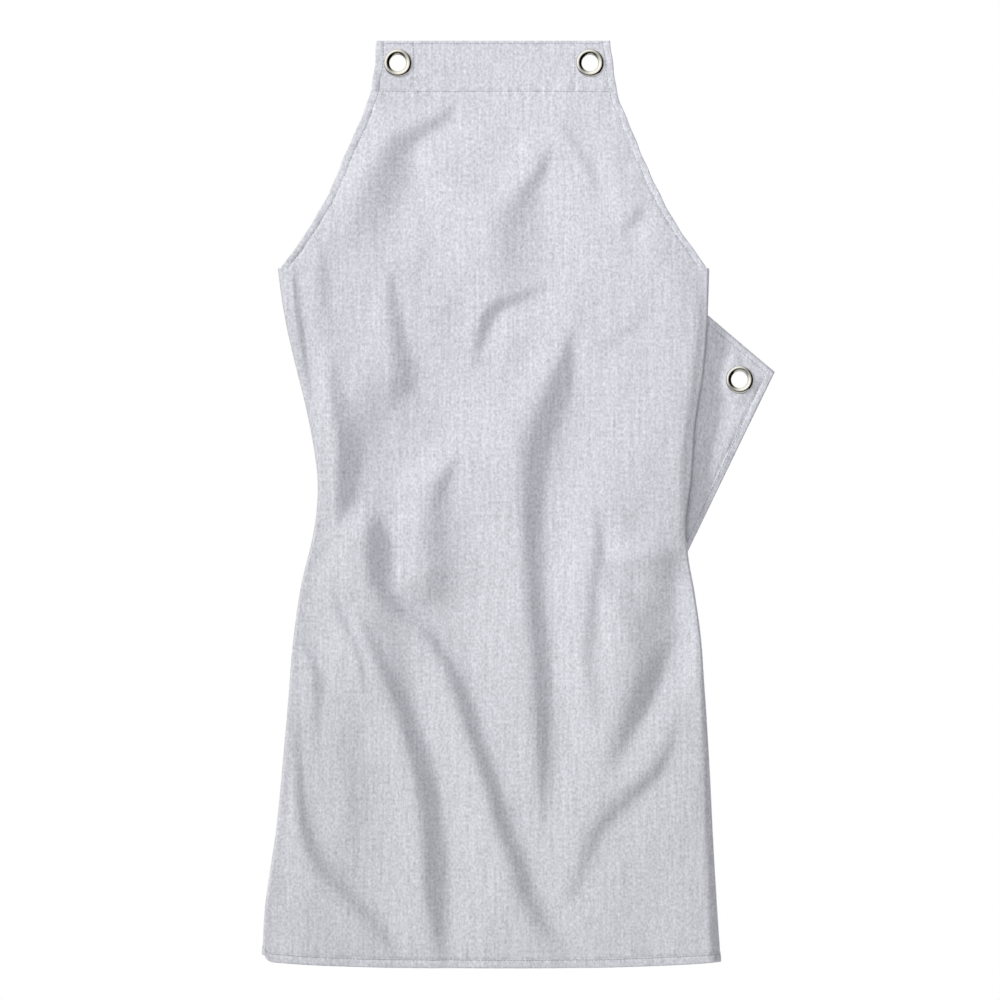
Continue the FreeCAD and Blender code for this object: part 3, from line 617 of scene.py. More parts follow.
def strip_relief(side, x, z):
    """How far a back strip stands out behind, away from its hinge and its edges."""
    top, down, inward = hinge_frame(side)
    from_hinge = np.abs((x - top[0]) * inward[0] + (z - top[1]) * inward[1])
    calm = smooth((from_hinge - 6) / 30) * smooth((edge_x(side, z) - x) * side / 25)
    # A wing can lie on the strip all along its hinge, so the strip is nearly flat there.
    foot = top[1] + down[1] * HINGE_LENGTH
    calm = calm * (1 - 0.85 * smooth((z - foot) / 80))
    waves = ((1.6, 60, 5 + side, 1.8), (0.4, 20, 8 + side, 2.0))
    folds = with_waves(fold_relief(x * side, z, STRIP_FOLDS), x, z, waves)
    seam = 0.8 * bell(z - BOTTOM - SEAM_INSET, 1.2)
    return calm * (1.5 + 4 * np.tanh(folds / 4)) - seam * calm


def strip_point(side, start, inner, share):
    """Points of a back strip that lie share of the way from its rolled side to its inner edge."""
    x = start[:, 0] + (inner[:, 0] - start[:, 0]) * share
    z = start[:, 2] + (inner[:, 1] - start[:, 2]) * share
    return np.stack([x, STRIP_Y + strip_relief(side, x, z), z], axis=-1)


def side_grid(side, outer):
    """The rolled side and the strip behind it, outward from the front's edge column."""
    inner = inner_edge(side)
    radius = (STRIP_Y - outer[:, 1]) / 2
    centre = outer[:, 1] + radius
    columns = []
    flat = []
    walked = np.zeros(len(outer))
    for step in range(1, ROLL_STEPS + 1):
        angle = math.pi * step / ROLL_STEPS
        x = outer[:, 0] + side * radius * ROLL_BULGE * math.sin(angle)
        columns.append(np.stack([x, centre - radius * math.cos(angle), outer[:, 2]], axis=-1))
        walked = walked + math.pi * radius / ROLL_STEPS * ROLL_LENGTH
        flat.append(walked)
    start = columns[-1]
    span = np.hypot(inner[:, 0] - start[:, 0], inner[:, 1] - start[:, 2])
    even = np.arange(1, STRIP_COLUMNS + 1) / (STRIP_COLUMNS + 1)
    shares = [share * (1 - NEAR_EDGE[-1] / span) for share in even]
    shares += [1 - gap / span for gap in HEM_STEPS[::-1]]
    for share in shares:
        columns.append(strip_point(side, start, inner, share))
        flat.append(walked + span * share)
    return np.stack(columns, axis=1), np.stack(flat, axis=1)


def make_main_cloth():
    """The bib, the front of the skirt and both sides turned behind it, as one cloth."""
    bib = front_grid(BIB_DEPTHS)
    skirt = front_grid(TOP - CORNER + SKIRT_DEPTHS)
    right, right_walk = side_grid(1, skirt[:, -1])
    left, left_walk = side_grid(-1, skirt[:, 0])
    whole = np.concatenate([left[:, ::-1], skirt, right], axis=1)
    left_x = (skirt[:, :1, 0] - left_walk)[:, ::-1]
    right_x = skirt[:, -1:, 0] + right_walk
    side_z = np.repeat(skirt[:, :1, 2], right.shape[1], axis=1)
    flat_x = np.hstack([left_x, skirt[..., 0], right_x])
    flat_z = np.hstack([side_z, skirt[..., 2], side_z])
    whole_flat = np.stack([flat_x, flat_z], axis=-1)
    rows, cols = bib.shape[:2]
    verts = np.vstack([bib.reshape(-1, 3), whole.reshape(-1, 3)])
    flat = np.vstack([bib[..., [0, 2]].reshape(-1, 2), whole_flat.reshape(-1, 2)])
    faces = grid_faces(rows, cols) + grid_faces(*whole.shape[:2], rows * cols)
    holes = [(side * EYELET_SIDE, FRONT_Y, 0) for side in SIDES]
    return make_cloth("main_cloth", verts, faces, flat, holes), whole, whole_flat


# ---------------------------------------------------------------- hems, facing and patches


def grid_normals(points):
    """Unit normals of a grid of points. On the main cloth they point out of the folded apron."""
    down = np.gradient(points, axis=0)
    over = np.gradient(points, axis=1)
    normal = np.cross(down, over)
    return normal / np.maximum(np.linalg.norm(normal, axis=-1, keepdims=True), 1e-9)


def hem_ply(name, points, flat):
    """A hem's turned ply: a part of the cloth's grid, set off along its normals, on its outer face."""
    return grid_cloth(name, points + grid_normals(points) * PLY, flat)


def front_ply(name, x, z, plies=1, holes_at=()):
    """A layer so many plies behind the front cloth, with eyelet holes on the sides holes_at."""
    points = front_point(x, z[:, None], PLY * plies)
    holes = [(side * EYELET_SIDE, FRONT_Y + PLY * plies, 0) for side in holes_at]
    return grid_cloth(name, points, points[..., [0, 2]], holes)


def make_armhole_hem(side):
    """The turned ply of an armhole's hem."""
    z = np.linspace(TOP - 0.4, CORNER + 1, 110)
    inward = np.array([0.3, 1.5, 3, 4.5, 6, SEAM_INSET, 8.2, HEM])
    return front_ply(f"armhole_hem_cloth_{SIDES[side]}", edge_x(side, z)[:, None] - side * inward, z)


def make_top_facing():
    """The band behind the top edge."""
    z = np.append(np.linspace(TOP - 0.3, FACING_SEAM + 4, 20), FACING_SEAM + np.array([2, 1, 0, -1.5]))
    share = np.linspace(-1, 1, 110)
    return front_ply("top_facing_cloth", share * (edge_x(1, z) - HEM)[:, None], z, 1, SIDES)


def make_corner_patch(side):
    """The square of cloth behind a top eyelet and the facing."""
    z = np.linspace(TOP - 0.6, FACING_SEAM + 1.2, 26)
    share = np.linspace(0, 1, 26)
    outer = (edge_x(side, z) - side * 0.6)[:, None]
    inner = side * PATCH_EDGE
    x = inner + (outer - inner) * share
    return front_ply(f"corner_patch_cloth_{SIDES[side]}", x, z, 2, [side])


# ---------------------------------------------------------------- wings

# Folds of the wing that stands out, in its hinge frame: outward from the hinge, and down along it.
WING_FOLDS = [
    (0, [(16, -20, 3, 0), (40, -66, 5, 0.32), (50, -100, 6, 0.3), (50, -140, 6, 0)]),
    (0, [(62, -84, 4, 0), (54, -130, 7, 0.12), (42, -190, 8, 0.12), (30, -240, 7, 0)]),
    (0, [(76, -86, 3, 0), (78, -120, 4, 0.24), (68, -170, 4, 0.24), (58, -200, 4, 0)]),
    (0, [(58, -38, 2, 0), (64, -48, 3, 0.5), (68, -58, 3, 0)]),
    (0, [(30, -22, 2, 0), (38, -36, 3, 0.45), (48, -54, 3, 0)]),
    (0, [(44, -34, 2, 0), (50, -46, 3, 0.4), (56, -60, 3, 0)]),
    (0, [(32, -60, 8, 0), (28, -120, 10, 0.12), (24, -200, 10, 0.14), (16, -320, 9, 0.14),
         (8, -440, 6, 0)]),
]
# How far in front of its plane a wing's cloth may dip, and how far behind it it may stand, out and in.
DEEPEST = 0.5
FURTHEST = {1: 5.0, -1: 1.9}
# A row at least this long has its last columns at the hem's own steps, and shorter rows squeeze them.
FULL_ROW = 103
# How far from the free edge the evenly spaced columns end.
EVEN_END = 11
# How many steps the margin on the strip and the turn round the hinge take.
MARGIN_STEPS = 3
TURN_STEPS = 8
# In rows shorter than this, the turn and the folds fade away to the hinge's foot.
FADE_LENGTH = 5
# Where a folded-in wing's columns stand closer beside its hinge, as shares of the row.
CLOSE_SHARES = [0.006, 0.012, 0.02, 0.03, 0.042, 0.055]
CLOSE_END = 0.07
# Where the bend across the hinge ends: in front of the wing that stands out, inward of the folded one.
BEND_AHEAD = 1.2
BEND_INWARD = 5


def wing_eyelet_spot(side):
    """Where a wing's eyelet is, in X and Z."""
    x, _, z = middle_mm(f"wing_{SIDES[side]}_eyelet")
    return x, z


def wing_plane(out):
    """The depth at which a wing lies at rest."""
    return FLAP_Y if out > 0 else STRIP_Y


def wing_depth(side, out, spot, side_gap, top_gap):
    """How far behind its plane the wing's cloth lies, from its own folds, hems and seams."""
    top, down, inward = hinge_frame(side)
    local_u = ((spot[..., 0] - top[0]) * inward[0] + (spot[..., 1] - top[1]) * inward[1]) * -out
    local_v = -((spot[..., 0] - top[0]) * down[0] + (spot[..., 1] - top[1]) * down[1])
    waves = ((0.5, 22, 12 + side, 1.4), (0.12, 8, 14 + side, 1.4))
    raised = with_waves(fold_relief(local_u, local_v, WING_FOLDS), local_u, local_v, waves)
    pucker = WING_PUCKER * grain(local_u, local_v, 5.0, 25 + side)
    for gap in (side_gap, top_gap):
        from_seam = gap - SEAM_INSET
        raised = raised + WING_PROUD * turned_hem(gap)
        raised = raised - WING_PULL * bell(from_seam, 1.2) + pucker * bell(from_seam, 5.0)
    # The set eyelet gathers the cloth round it.
    eye_x, eye_z = wing_eyelet_spot(side)
    from_eyelet = np.hypot(spot[..., 0] - eye_x, spot[..., 1] - eye_z)
    turn = np.arctan2(spot[..., 1] - eye_z, spot[..., 0] - eye_x)
    raised = raised + 0.5 * np.sin(7 * turn + 1) * bell(from_eyelet - 19, 6)
    calm = smooth((from_eyelet - 13) / 12) * smooth((local_u - 4) / 12)
    depth = calm * (1.2 - raised)
    limit = np.where(depth > 0, FURTHEST[out], DEEPEST)
    return limit * np.tanh(depth / limit)


def wing_grid(side, out):
    """Rows across a wing from its strip to its free edge, and how far along the cloth each point lies."""
    start = inner_edge(side)[: HINGE_ROW + 1]
    hinge = hinge_line(side, ALONG_HINGE)
    inward = hinge_frame(side)[2]
    edge = wing_edge(side, ALONG_HINGE, out)
    width = np.linalg.norm(edge - hinge, axis=1)
    size = smooth(width / FADE_LENGTH)
    margin = np.linalg.norm(hinge - start, axis=1)
    base = np.full(len(start), STRIP_Y)
    columns = []
    walked = []
    for share in np.arange(MARGIN_STEPS + 1) / MARGIN_STEPS:
        columns.append((start + (hinge - start) * share, base))
        walked.append(margin * share)
    if out > 0:
        radius = (FLAP_Y - STRIP_Y) / 2 * size
        for step in range(1, TURN_STEPS + 1):
            angle = math.pi * step / TURN_STEPS
            spot = hinge + inward * (radius * math.sin(angle))[:, None]
            columns.append((spot, STRIP_Y + radius * (1 - math.cos(angle))))
            walked.append(margin + radius * angle)
        base = STRIP_Y + 2 * radius
    turned = walked[-1]
    close, begin = (CLOSE_SHARES, CLOSE_END) if out < 0 else ([], 0)
    even = np.linspace(begin, 1, WING_COLUMNS + 1)[1:] * (1 - EVEN_END / FULL_ROW)
    per_mm = np.minimum(1 / np.maximum(width, 1e-6), 1 / FULL_ROW)
    shares = [share * np.ones(len(width)) for share in [*close, *even]]
    shares += [1 - gap * per_mm for gap in HEM_STEPS[::-1]]
    top_gap = ALONG_HINGE * HINGE_LENGTH * WING_SLANT
    for share in shares:
        spot = hinge + (edge - hinge) * share[:, None]
        depth = wing_depth(side, out, spot, width * (1 - share), top_gap)
        columns.append((spot, base + depth * size))
        walked.append(turned + width * share)
    points = np.stack([np.stack([spot[:, 0], y, spot[:, 1]], axis=-1) for spot, y in columns], axis=1)
    down = np.repeat(hinge[:, 1:], len(columns), axis=1)
    return points, np.stack([np.stack(walked, axis=1), down], axis=-1)


def wing_blend(obj, side, out):
    """Works out where a bend across the hinge would start and end, but bends nothing, and bakes the piece's
    placing into its mesh.
    """
    if out > 0:
        start, end = (0, STRIP_Y, 0), (0, FLAP_Y - BEND_AHEAD, 0)
    else:
        hinge = hinge_line(side, 0.5)[0]
        far = hinge + hinge_frame(side)[2] * BEND_INWARD
        start, end = (hinge[0], STRIP_Y, hinge[1]), (far[0], STRIP_Y, far[1])
    start, end = (tuple(c * MM for c in place) for place in (start, end))
    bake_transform(obj)
    return obj


# ---------------------------------------------------------------- stitches

STITCH = 2.5
STITCH_GAP = 0.55
# A thread's radius, and how many rings along a stitch and sides round it make its mesh.
THREAD = 0.27
RINGS = 5
ROUND = 6


def stitch_row(path, normals, offset):
    """Stitches along path, a list of points. Each is a thread that dips into the cloth at both ends."""
    walk = np.append(0, np.cumsum(np.linalg.norm(np.diff(path, axis=0), axis=1)))
    arch = np.sin(np.linspace(0, math.pi, RINGS)) ** 0.6
    verts, faces = [], []
    for i in range(int(walk[-1] // (STITCH + STITCH_GAP))):
        begin = i * (STITCH + STITCH_GAP) + STITCH_GAP / 2
        marks = begin + STITCH * np.linspace(0, 1, RINGS)
        centre = np.stack([np.interp(marks, walk, path[:, k]) for k in range(3)], axis=-1)
        normal = np.stack([np.interp(marks, walk, normals[:, k]) for k in range(3)], axis=-1)
        normal /= np.linalg.norm(normal, axis=1, keepdims=True)
        run = centre[-1] - centre[0]
        run /= np.linalg.norm(run)
        lean = np.cross(normal, run)
        lean /= np.linalg.norm(lean, axis=1, keepdims=True)
        first = len(verts)
        for k in range(RINGS):
            rise = offset + (arch[k] - 0.55) * THREAD * 1.3
            radius = THREAD * (0.55 + 0.45 * arch[k])
            for a in range(ROUND):
                angle = 2 * math.pi * a / ROUND
                up, aside = rise + radius * math.sin(angle), radius * math.cos(angle)
                verts.append(centre[k] + normal[k] * up + lean[k] * aside)
        for k in range(RINGS - 1):
            low, high = first + k * ROUND, first + (k + 1) * ROUND
            for a in range(ROUND):
                b = (a + 1) % ROUND
                faces.append((low + a, low + b, high + b, high + a))
        faces.append(tuple(first + a for a in range(ROUND))[::-1])
        faces.append(tuple(first + (RINGS - 1) * ROUND + a for a in range(ROUND)))
    return verts, faces


def seam(name, path, normals, plies=1):
    """Stitches along path on the face of the cloth, where normals point, and behind its plies."""
    normals = np.broadcast_to(np.asarray(normals, float), path.shape)
    verts, faces = stitch_row(path, normals, CLOTH / 2)
    back_verts, back_faces = stitch_row(path, -normals, PLY * plies + CLOTH / 2)
    shift = len(verts)
    faces += [tuple(i + shift for i in face) for face in back_faces]
    return new_object(name, verts + back_verts, faces)


def front_seam(name, x, z, plies=1):
    """A seam along the front."""
    return seam(name, front_point(x, z), (0, -1, 0), plies)


# ---------------------------------------------------------------- materials


class Nodes:
    """A short way to write a material's node tree."""

    def __init__(self, name):
        self.material = bpy.data.materials.new(name)
        self.material.use_nodes = True
        self.tree = self.material.node_tree
        self.shader = self.tree.nodes["Principled BSDF"]

    def add(self, kind, **settings):
        node = self.tree.nodes.new(kind)
        for key, setting in settings.items():
            setattr(node, key, setting)
        return node

    def link(self, source, target):
        self.tree.links.new(source, target)

    def set(self, **values):
        """Fixed values of the shader, each named as its socket with _ for a space."""
        for name, given in values.items():
            self.shader.inputs[name.replace("_", " ")].default_value = given

    def math(self, operation, a, b=0.0):
        node = self.add("ShaderNodeMath", operation=operation)
        for socket, given in zip(node.inputs, (a, b)):
            if isinstance(given, (int, float)):
                socket.default_value = given
            else:
                self.link(given, socket)
        return node.outputs[0]

    def total(self, base, *shares):
        """base plus each pattern times its share."""
        for pattern, share in shares:
            base = self.math("ADD", self.math("MULTIPLY", pattern, share), base)
        return base

    def noise(self, vector, scale, detail=2.0, rough=0.5):
        node = self.add("ShaderNodeTexNoise")
        self.link(vector, node.inputs["Vector"])
        node.inputs["Scale"].default_value = scale
        node.inputs["Detail"].default_value = detail
        node.inputs["Roughness"].default_value = rough
        return node.outputs["Fac"]

    def stretched(self, vector, scale):
        node = self.add("ShaderNodeMapping")
        self.link(vector, node.inputs["Vector"])
        node.inputs["Scale"].default_value = scale
        return node.outputs["Vector"]

    def colour(self, colour, factor):
        """Colours the surface with colour times factor."""
        node = self.add("ShaderNodeVectorMath", operation="SCALE")
        node.inputs[0].default_value = colour
        self.link(factor, node.inputs["Scale"])
        self.link(node.outputs[0], self.shader.inputs["Base Color"])

    def bump(self, height, strength, distance):
        """Bumps the surface by the pattern height. distance is in metres."""
        node = self.add("ShaderNodeBump")
        node.inputs["Strength"].default_value = strength
        node.inputs["Distance"].default_value = distance
        self.link(height, node.inputs["Height"])
        self.link(node.outputs["Normal"], self.shader.inputs["Normal"])


# The spacing of the weave's yarns, in metres.
YARN = 0.00055
CLOTH_COLOUR = (0.65, 0.653, 0.688)
THREAD_COLOUR = (0.30, 0.30, 0.335)
NICKEL_COLOUR = (0.59, 0.575, 0.515)
FLOOR_COLOUR = (0.86, 0.86, 0.87, 1)


def cloth_material():
    """Plain-woven chambray: pale warp and grey weft, speckled, with faint upright slubs."""
    n = Nodes("cloth")
    flat = n.add("ShaderNodeUVMap", uv_map="Cloth").outputs["UV"]
    split = n.add("ShaderNodeSeparateXYZ")
    n.link(flat, split.inputs[0])
    turn = 2 * math.pi / YARN
    warp = n.math("SINE", n.math("MULTIPLY", split.outputs["X"], turn))
    weft = n.math("SINE", n.math("MULTIPLY", split.outputs["Y"], turn))
    weave = n.math("MULTIPLY", warp, weft)
    speckle = n.noise(n.stretched(flat, (1, 0.75, 1)), 410, 3.0, 0.72)
    mottle = n.noise(n.stretched(flat, (1, 0.6, 1)), 170, 2.0, 0.6)
    slub = n.noise(n.stretched(flat, (1, 0.045, 1)), 330, 3.0, 0.65)
    pick = n.noise(n.stretched(flat, (0.09, 1, 1)), 400, 2.0, 0.6)
    cloud = n.noise(flat, 9, 3.0, 0.5)
    shares = [(speckle, 1.2)]
    for pattern, strength in ((mottle, 0.28), (slub, 0.46), (pick, 0.13), (cloud, 0.08)):
        shares.append((n.math("SUBTRACT", pattern, 0.5), strength))
    n.colour(CLOTH_COLOUR, n.total(0.4, *shares, (weave, 0.03)))
    n.link(n.total(0.78, (speckle, 0.16)), n.shader.inputs["Roughness"])
    n.bump(n.total(0.0, (weave, 0.35), (speckle, 0.9), (slub, 0.5)), 0.35, 0.0003)
    n.set(Sheen_Weight=0.12, Sheen_Roughness=0.5, Specular_IOR_Level=0.25)
    return n.material


def thread_material():
    """Twisted sewing thread, darker than the cloth."""
    n = Nodes("thread")
    place = n.add("ShaderNodeTexCoord").outputs["Object"]
    twist = n.noise(place, 2600, 1.0, 0.5)
    shade = n.noise(place, 300, 2.0, 0.5)
    n.colour(THREAD_COLOUR, n.total(0.7, (twist, 0.4), (shade, 0.2)))
    n.bump(twist, 0.4, 0.0001)
    n.set(Roughness=0.7)
    return n.material


def nickel_material():
    """Polished nickel plate with fine handling marks."""
    n = Nodes("nickel")
    place = n.add("ShaderNodeTexCoord").outputs["Object"]
    cloud = n.noise(place, 160, 3.0, 0.6)
    fine = n.noise(n.stretched(place, (1, 4, 1)), 1800, 2.0, 0.6)
    n.colour(NICKEL_COLOUR, n.total(0.92, (cloud, 0.16)))
    n.link(n.total(0.05, (cloud, 0.1), (fine, 0.05)), n.shader.inputs["Roughness"])
    n.bump(fine, 0.12, 0.0001)
    n.set(Metallic=1.0)
    return n.material


LOOKS = {"cloth": cloth_material(), "thread": thread_material(), "nickel": nickel_material()}


def dress(obj, slot, *nodes):
    """Gives a piece the material for slot and hides the CAD nodes that it stands for."""
    obj.data.materials.append(LOOKS[slot])
    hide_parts(*nodes)
    return obj


# ---------------------------------------------------------------- metal

# How thick the plies are that an eyelet holds, at the top edge and on a wing.
TOP_STACK = 1.8
WING_STACK = 1.2


def eyelet_profile(stack):
    """The flange's rolled rim, the barrel and the curl behind the cloth, as one bent sheet of metal."""
    return rounded(
        [
            (8.05, 0.0), (8.1, -0.5), (8.45, -1.0), (9.1, -1.35), (10.0, -1.75), (11.0, -1.95),
            (12.0, -1.8), (12.9, -1.3), (13.4, -0.6), (13.45, -0.12), (13.15, -0.02), (12.7, -0.5),
            (11.9, -1.2), (11.0, -1.4), (10.1, -1.2), (9.2, -0.8), (8.65, -0.3), (8.5, 0.4),
            (8.5, stack + 0.5), (8.8, stack + 1.1), (9.6, stack + 1.25), (10.5, stack + 0.85),
            (10.8, stack + 1.0), (10.3, stack + 1.5), (9.4, stack + 1.75), (8.4, stack + 1.5),
            (8.05, stack + 0.8),
        ]
    )


def washer_profile(stack):
    """A domed washer behind the cloth, under the curl."""
    return rounded(
        [
            (8.7, stack + 0.1), (9.8, stack + 0.15), (11.6, stack + 0.05), (12.95, stack + 0.02),
            (13.0, stack + 0.3), (12.3, stack + 0.55), (11.0, stack + 0.7), (9.6, stack + 0.68),
            (8.7, stack + 0.55),
        ]
    )


def lathe(name, profile, segments=72):
    """Revolves a closed (radius, depth) profile about Y."""
    verts, faces = [], []
    count = len(profile)
    for s in range(segments):
        angle = 2 * math.pi * s / segments
        following = (s + 1) % segments
        for i, (radius, depth) in enumerate(profile):
            j = (i + 1) % count
            verts.append((radius * math.cos(angle), depth, radius * math.sin(angle)))
            faces.append((s * count + i, s * count + j, following * count + j, following * count + i))
    return new_object(name, verts, faces)


def make_eyelet(name, body, way, stack, face):
    """Both pieces of one set eyelet, where the CAD has them.

    way is -1 where its flange is in front of the cloth and 1 where it is behind it. face is the depth of
    the cloth under the flange.
    """
    x, _, z = middle_mm(f"{name}_eyelet")
    made = []
    for part, profile in (("eyelet", eyelet_profile(stack)), ("washer", washer_profile(stack))):
        obj = lathe(f"{name}_{part}_metal", profile)
        for v in obj.data.vertices:
            v.co = (v.co.x + x * MM, -way * v.co.y + face * MM, v.co.z + z * MM)
        if way < 0:
            obj.data.flip_normals()
        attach(dress(obj, "nickel", f"{name}_{part}"), body)
        made.append(obj)
    return made


# ---------------------------------------------------------------- building the apron

# How far the top edge's seam reaches to each side.
TOP_SEAM_HALF = 104
# The side seams end this many rows above the bottom edge.
SEAM_END = 4


def on_body(obj, slot, *nodes):
    """Dresses a piece that moves with the apron's body."""
    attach(dress(obj, slot, *nodes), BODY)
    return obj


def body_plies(grid, flat):
    """The hems, patches and facing of the main cloth."""
    hem = hem_ply("bottom_hem_cloth", grid[-HEM_COUNT:], flat[-HEM_COUNT:])
    plies = [on_body(hem, "cloth", "bottom_hem")]
    for side, name in SIDES.items():
        columns = slice(-HEM_COUNT, None) if side > 0 else slice(0, HEM_COUNT)
        rows = slice(HINGE_ROW, -HEM_COUNT)
        side_hem = hem_ply(f"side_hem_cloth_{name}", grid[rows, columns], flat[rows, columns])
        plies.append(on_body(side_hem, "cloth", f"side_hem_{name}"))
        plies.append(on_body(make_armhole_hem(side), "cloth", f"armhole_hem_{name}"))
        plies.append(on_body(make_corner_patch(side), "cloth", f"corner_patch_{name}"))
    plies.append(on_body(make_top_facing(), "cloth", "top_facing"))
    return plies


def body_seams(grid):
    """The seams of the main cloth."""
    half = edge_x(1, FACING_SEAM) - SEAM_INSET
    facing = front_seam("facing_stitches", np.linspace(-half, half, 200), FACING_SEAM)
    x = np.linspace(-TOP_SEAM_HALF, TOP_SEAM_HALF, 160)
    top_edge = front_seam("top_edge_stitches", x, TOP - TOP_SEAM_INSET)
    seams = [on_body(facing, "thread", "facing_seam"), on_body(top_edge, "thread", "top_edge_seam")]
    for side, name in SIDES.items():
        z = np.linspace(TOP, CORNER + 2, 220)
        armhole = front_seam(f"armhole_stitches_{name}", edge_x(side, z) - side * SEAM_INSET, z)
        seams.append(on_body(armhole, "thread", f"armhole_seam_{name}"))
        z = np.linspace(TOP - 3, FACING_SEAM, 40)
        patch = front_seam(f"patch_stitches_{name}", side * PATCH_SEAM, z, 2)
        seams.append(on_body(patch, "thread", f"corner_patch_seam_{name}"))
        column = -1 - SEAM_STEP if side > 0 else SEAM_STEP
        upright = seam(f"side_stitches_{name}", grid[HINGE_ROW:-SEAM_END, column], (0, 1, 0))
        seams.append(on_body(upright, "thread", f"side_seam_{name}"))
    row = -1 - SEAM_STEP
    bottom = seam("bottom_stitches", grid[row], -grid_normals(grid)[row])
    seams.append(on_body(bottom, "thread", "bottom_seam"))
    return seams


def build_body():
    """The main cloth with its plies, seams and eyelets."""
    cloth, grid, flat = make_main_cloth()
    on_body(cloth, "cloth", "front_panel", "side_fold_left", "side_fold_right")
    plies = body_plies(grid, flat)
    seams = body_seams(grid)
    eyelets = []
    for name in SIDES.values():
        eyelets += make_eyelet(f"top_{name}", BODY, -1, TOP_STACK, PANEL_LOW[1])
    return cloth


# The first column past the turn of a wing that stands out.
AFTER_TURN = MARGIN_STEPS + 1 + TURN_STEPS
# The rows and the columns of a wing's grid that its plies cover and its seams follow.
WING_PLIES = {
    "side_hem": (slice(None, -2), slice(-HEM_COUNT, None)),
    "top_hem": (slice(None, 4), slice(AFTER_TURN, -8)),
    "patch": (slice(3, 17), slice(-28, -8)),
}
WING_SEAMS = {"side": (slice(None, -6), -1 - SEAM_STEP), "top": (2, slice(AFTER_TURN, -6))}


def build_wing(side, out):
    """A wing's cloth with its plies, seams and eyelet. out is 1 if it stands out and -1 if it is folded in.

    Its face is in front when it stands out and behind when it is folded in.
    """
    name = SIDES[side]
    points, flat = wing_grid(side, out)
    eye_x, eye_z = wing_eyelet_spot(side)
    cloth = grid_cloth(f"wing_cloth_{name}", points, flat, [(eye_x, wing_plane(out), eye_z)])
    wing_blend(dress(cloth, "cloth", f"wing_panel_{name}"), side, out)
    pieces = []
    for part, cover in WING_PLIES.items():
        holes = [(eye_x, wing_plane(out) + out * PLY, eye_z)] if part == "patch" else []
        shifted = points[cover] + np.array([0.0, out * PLY, 0.0])
        obj = grid_cloth(f"wing_{part}_cloth_{name}", shifted, flat[cover], holes)
        pieces.append(wing_blend(dress(obj, "cloth", f"wing_{part}_{name}"), side, out))
    for edge, line in WING_SEAMS.items():
        obj = seam(f"wing_{edge}_stitches_{name}", points[line], (0, -out, 0))
        pieces.append(wing_blend(dress(obj, "thread", f"wing_{edge}_seam_{name}"), side, out))
    face = WING_LOW[1] if out > 0 else FOLD_HIGH[1]
    pieces += make_eyelet(f"wing_{name}", f"{name}_wing", -out, WING_STACK, face)


main_cloth = build_body()
build_wing(1, 1)
build_wing(-1, -1)

# ---------------------------------------------------------------- floor, light and camera, in metres

FLOOR_RADIUS = 1.15
FLOOR_HEIGHT = -1.07
FLOOR_CORNERS = 96
# The camera stands straight in front of this point, and the picture is so wide there.
AIM_X = 0.0058
AIM_Z = -0.4217
CAMERA_DISTANCE = 4.2
SEEN_WIDTH = 0.965
SENSOR_WIDTH = 36


def make_floor():
    """A pale round floor below the hanging apron."""
    verts = [(0, 0, 0)]
    faces = []
    for i in range(FLOOR_CORNERS):
        angle = 2 * math.pi * i / FLOOR_CORNERS
        verts.append((FLOOR_RADIUS * math.cos(angle), FLOOR_RADIUS * math.sin(angle), 0))
        faces.append((0, 1 + i, 1 + (i + 1) % FLOOR_CORNERS))
    mesh = bpy.data.meshes.new("floor")
    mesh.from_pydata(verts, [], faces)
    floor = bpy.data.objects.new("floor", mesh)
    floor.location.z = FLOOR_HEIGHT
    bpy.context.collection.objects.link(floor)
    n = Nodes("floor")
    n.set(Base_Color=FLOOR_COLOUR, Roughness=0.7)
    mesh.materials.append(n.material)


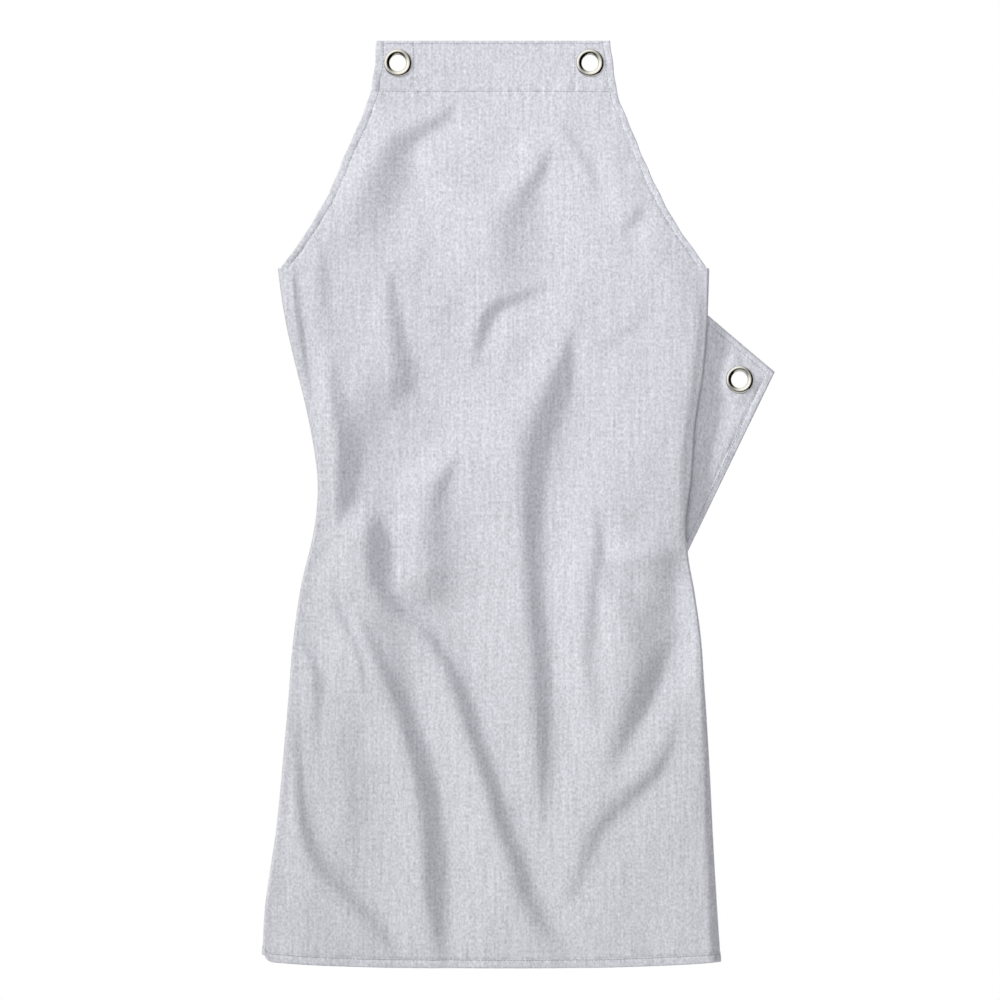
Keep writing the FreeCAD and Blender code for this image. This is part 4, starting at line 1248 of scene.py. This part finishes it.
def make_world():
    """White all round to the eye. As light it is brighter from the upper left, and metal mirrors it so."""
    world = bpy.data.worlds.new("studio")
    bpy.context.scene.world = world
    world.use_nodes = True
    tree = world.node_tree
    tree.nodes.clear()
    path = tree.nodes.new("ShaderNodeLightPath")
    place = tree.nodes.new("ShaderNodeTexCoord")

    def background(low, high, start, end, towards):
        """A background whose strength goes from low to high as it turns towards a direction.

        start and end are how far it has turned there, from -1, straight away from it, to 1.
        """
        dot = tree.nodes.new("ShaderNodeVectorMath")
        dot.operation = "DOT_PRODUCT"
        dot.inputs[1].default_value = towards
        ramp = tree.nodes.new("ShaderNodeMapRange")
        ramp.interpolation_type = "SMOOTHSTEP"
        for socket, given in zip(ramp.inputs[1:5], (start, end, low, high)):
            socket.default_value = given
        shader = tree.nodes.new("ShaderNodeBackground")
        shader.inputs["Color"].default_value = (1, 1, 1, 1)
        tree.links.new(place.outputs["Generated"], dot.inputs[0])
        tree.links.new(dot.outputs["Value"], ramp.inputs["Value"])
        tree.links.new(ramp.outputs["Result"], shader.inputs["Strength"])
        return shader.outputs[0]

    def mixed(switch, off, on):
        mix = tree.nodes.new("ShaderNodeMixShader")
        tree.links.new(path.outputs[switch], mix.inputs["Fac"])
        tree.links.new(off, mix.inputs[1])
        tree.links.new(on, mix.inputs[2])
        return mix.outputs[0]

    soft = background(0.06, 0.26, -0.7, 0.9, (-0.75, -0.35, 0.56))
    before = background(0.0, 1.65, 0.22, 0.92, (-0.6, -0.52, 0.6))
    behind = background(0.0, 1.0, 0.25, 0.95, (0.45, 0.78, 0.45))
    mirrored = tree.nodes.new("ShaderNodeAddShader")
    tree.links.new(before, mirrored.inputs[0])
    tree.links.new(behind, mirrored.inputs[1])
    seen = background(1.0, 1.0, -1.0, 1.0, (0.0, 0.0, 1.0))
    output = tree.nodes.new("ShaderNodeOutputWorld")
    lit = mixed("Is Glossy Ray", soft, mirrored.outputs[0])
    tree.links.new(mixed("Is Camera Ray", lit, seen), output.inputs["Surface"])


def place_light(name, data):
    """Puts a light in the scene. Metal mirrors the world only, so no light is seen in it."""
    light = bpy.data.objects.new(name, data)
    light.visible_glossy = False
    bpy.context.collection.objects.link(light)
    return light


def area_light(name, place, aim, size, power, colour):
    """A soft round light at place that shines at aim."""
    data = bpy.data.lights.new(name, "AREA")
    data.shape = "DISK"
    data.size = size
    data.energy = power
    data.color = colour
    light = place_light(name, data)
    light.location = place
    light.rotation_euler = (Vector(aim) - Vector(place)).to_track_quat("-Z", "Y").to_euler()


def sun_light(name, towards, strength, angle):
    """A far, soft light that stands in the direction towards and is angle degrees wide."""
    data = bpy.data.lights.new(name, "SUN")
    data.energy = strength
    data.angle = math.radians(angle)
    place_light(name, data).rotation_euler = (-Vector(towards)).to_track_quat("-Z", "Y").to_euler()


def make_camera():
    """Straight on, from far enough away to see the apron as flat as it hangs."""
    data = bpy.data.cameras.new("camera")
    data.sensor_width = SENSOR_WIDTH
    data.lens = SENSOR_WIDTH * CAMERA_DISTANCE / SEEN_WIDTH
    data.clip_end = 50
    camera = bpy.data.objects.new("camera", data)
    camera.location = (AIM_X, -CAMERA_DISTANCE, AIM_Z)
    camera.rotation_euler = (math.pi / 2, 0, 0)
    bpy.context.collection.objects.link(camera)
    bpy.context.scene.camera = camera


make_floor()
make_world()
sun_light("key", towards=(-0.8, -0.45, 0.42), strength=2.1, angle=12)
area_light(
    "fill", place=(0.1, -0.95, 0.06), aim=(0.02, 0, -0.1), size=0.5, power=5.5, colour=(0.95, 0.945, 1.0)
)
area_light(
    "back", place=(1.9, 1.9, 0.9), aim=(0, 0, -0.4), size=0.8, power=66, colour=(0.975, 0.97, 1.0)
)
make_camera()
bpy.context.scene.view_settings.view_transform = "Standard"
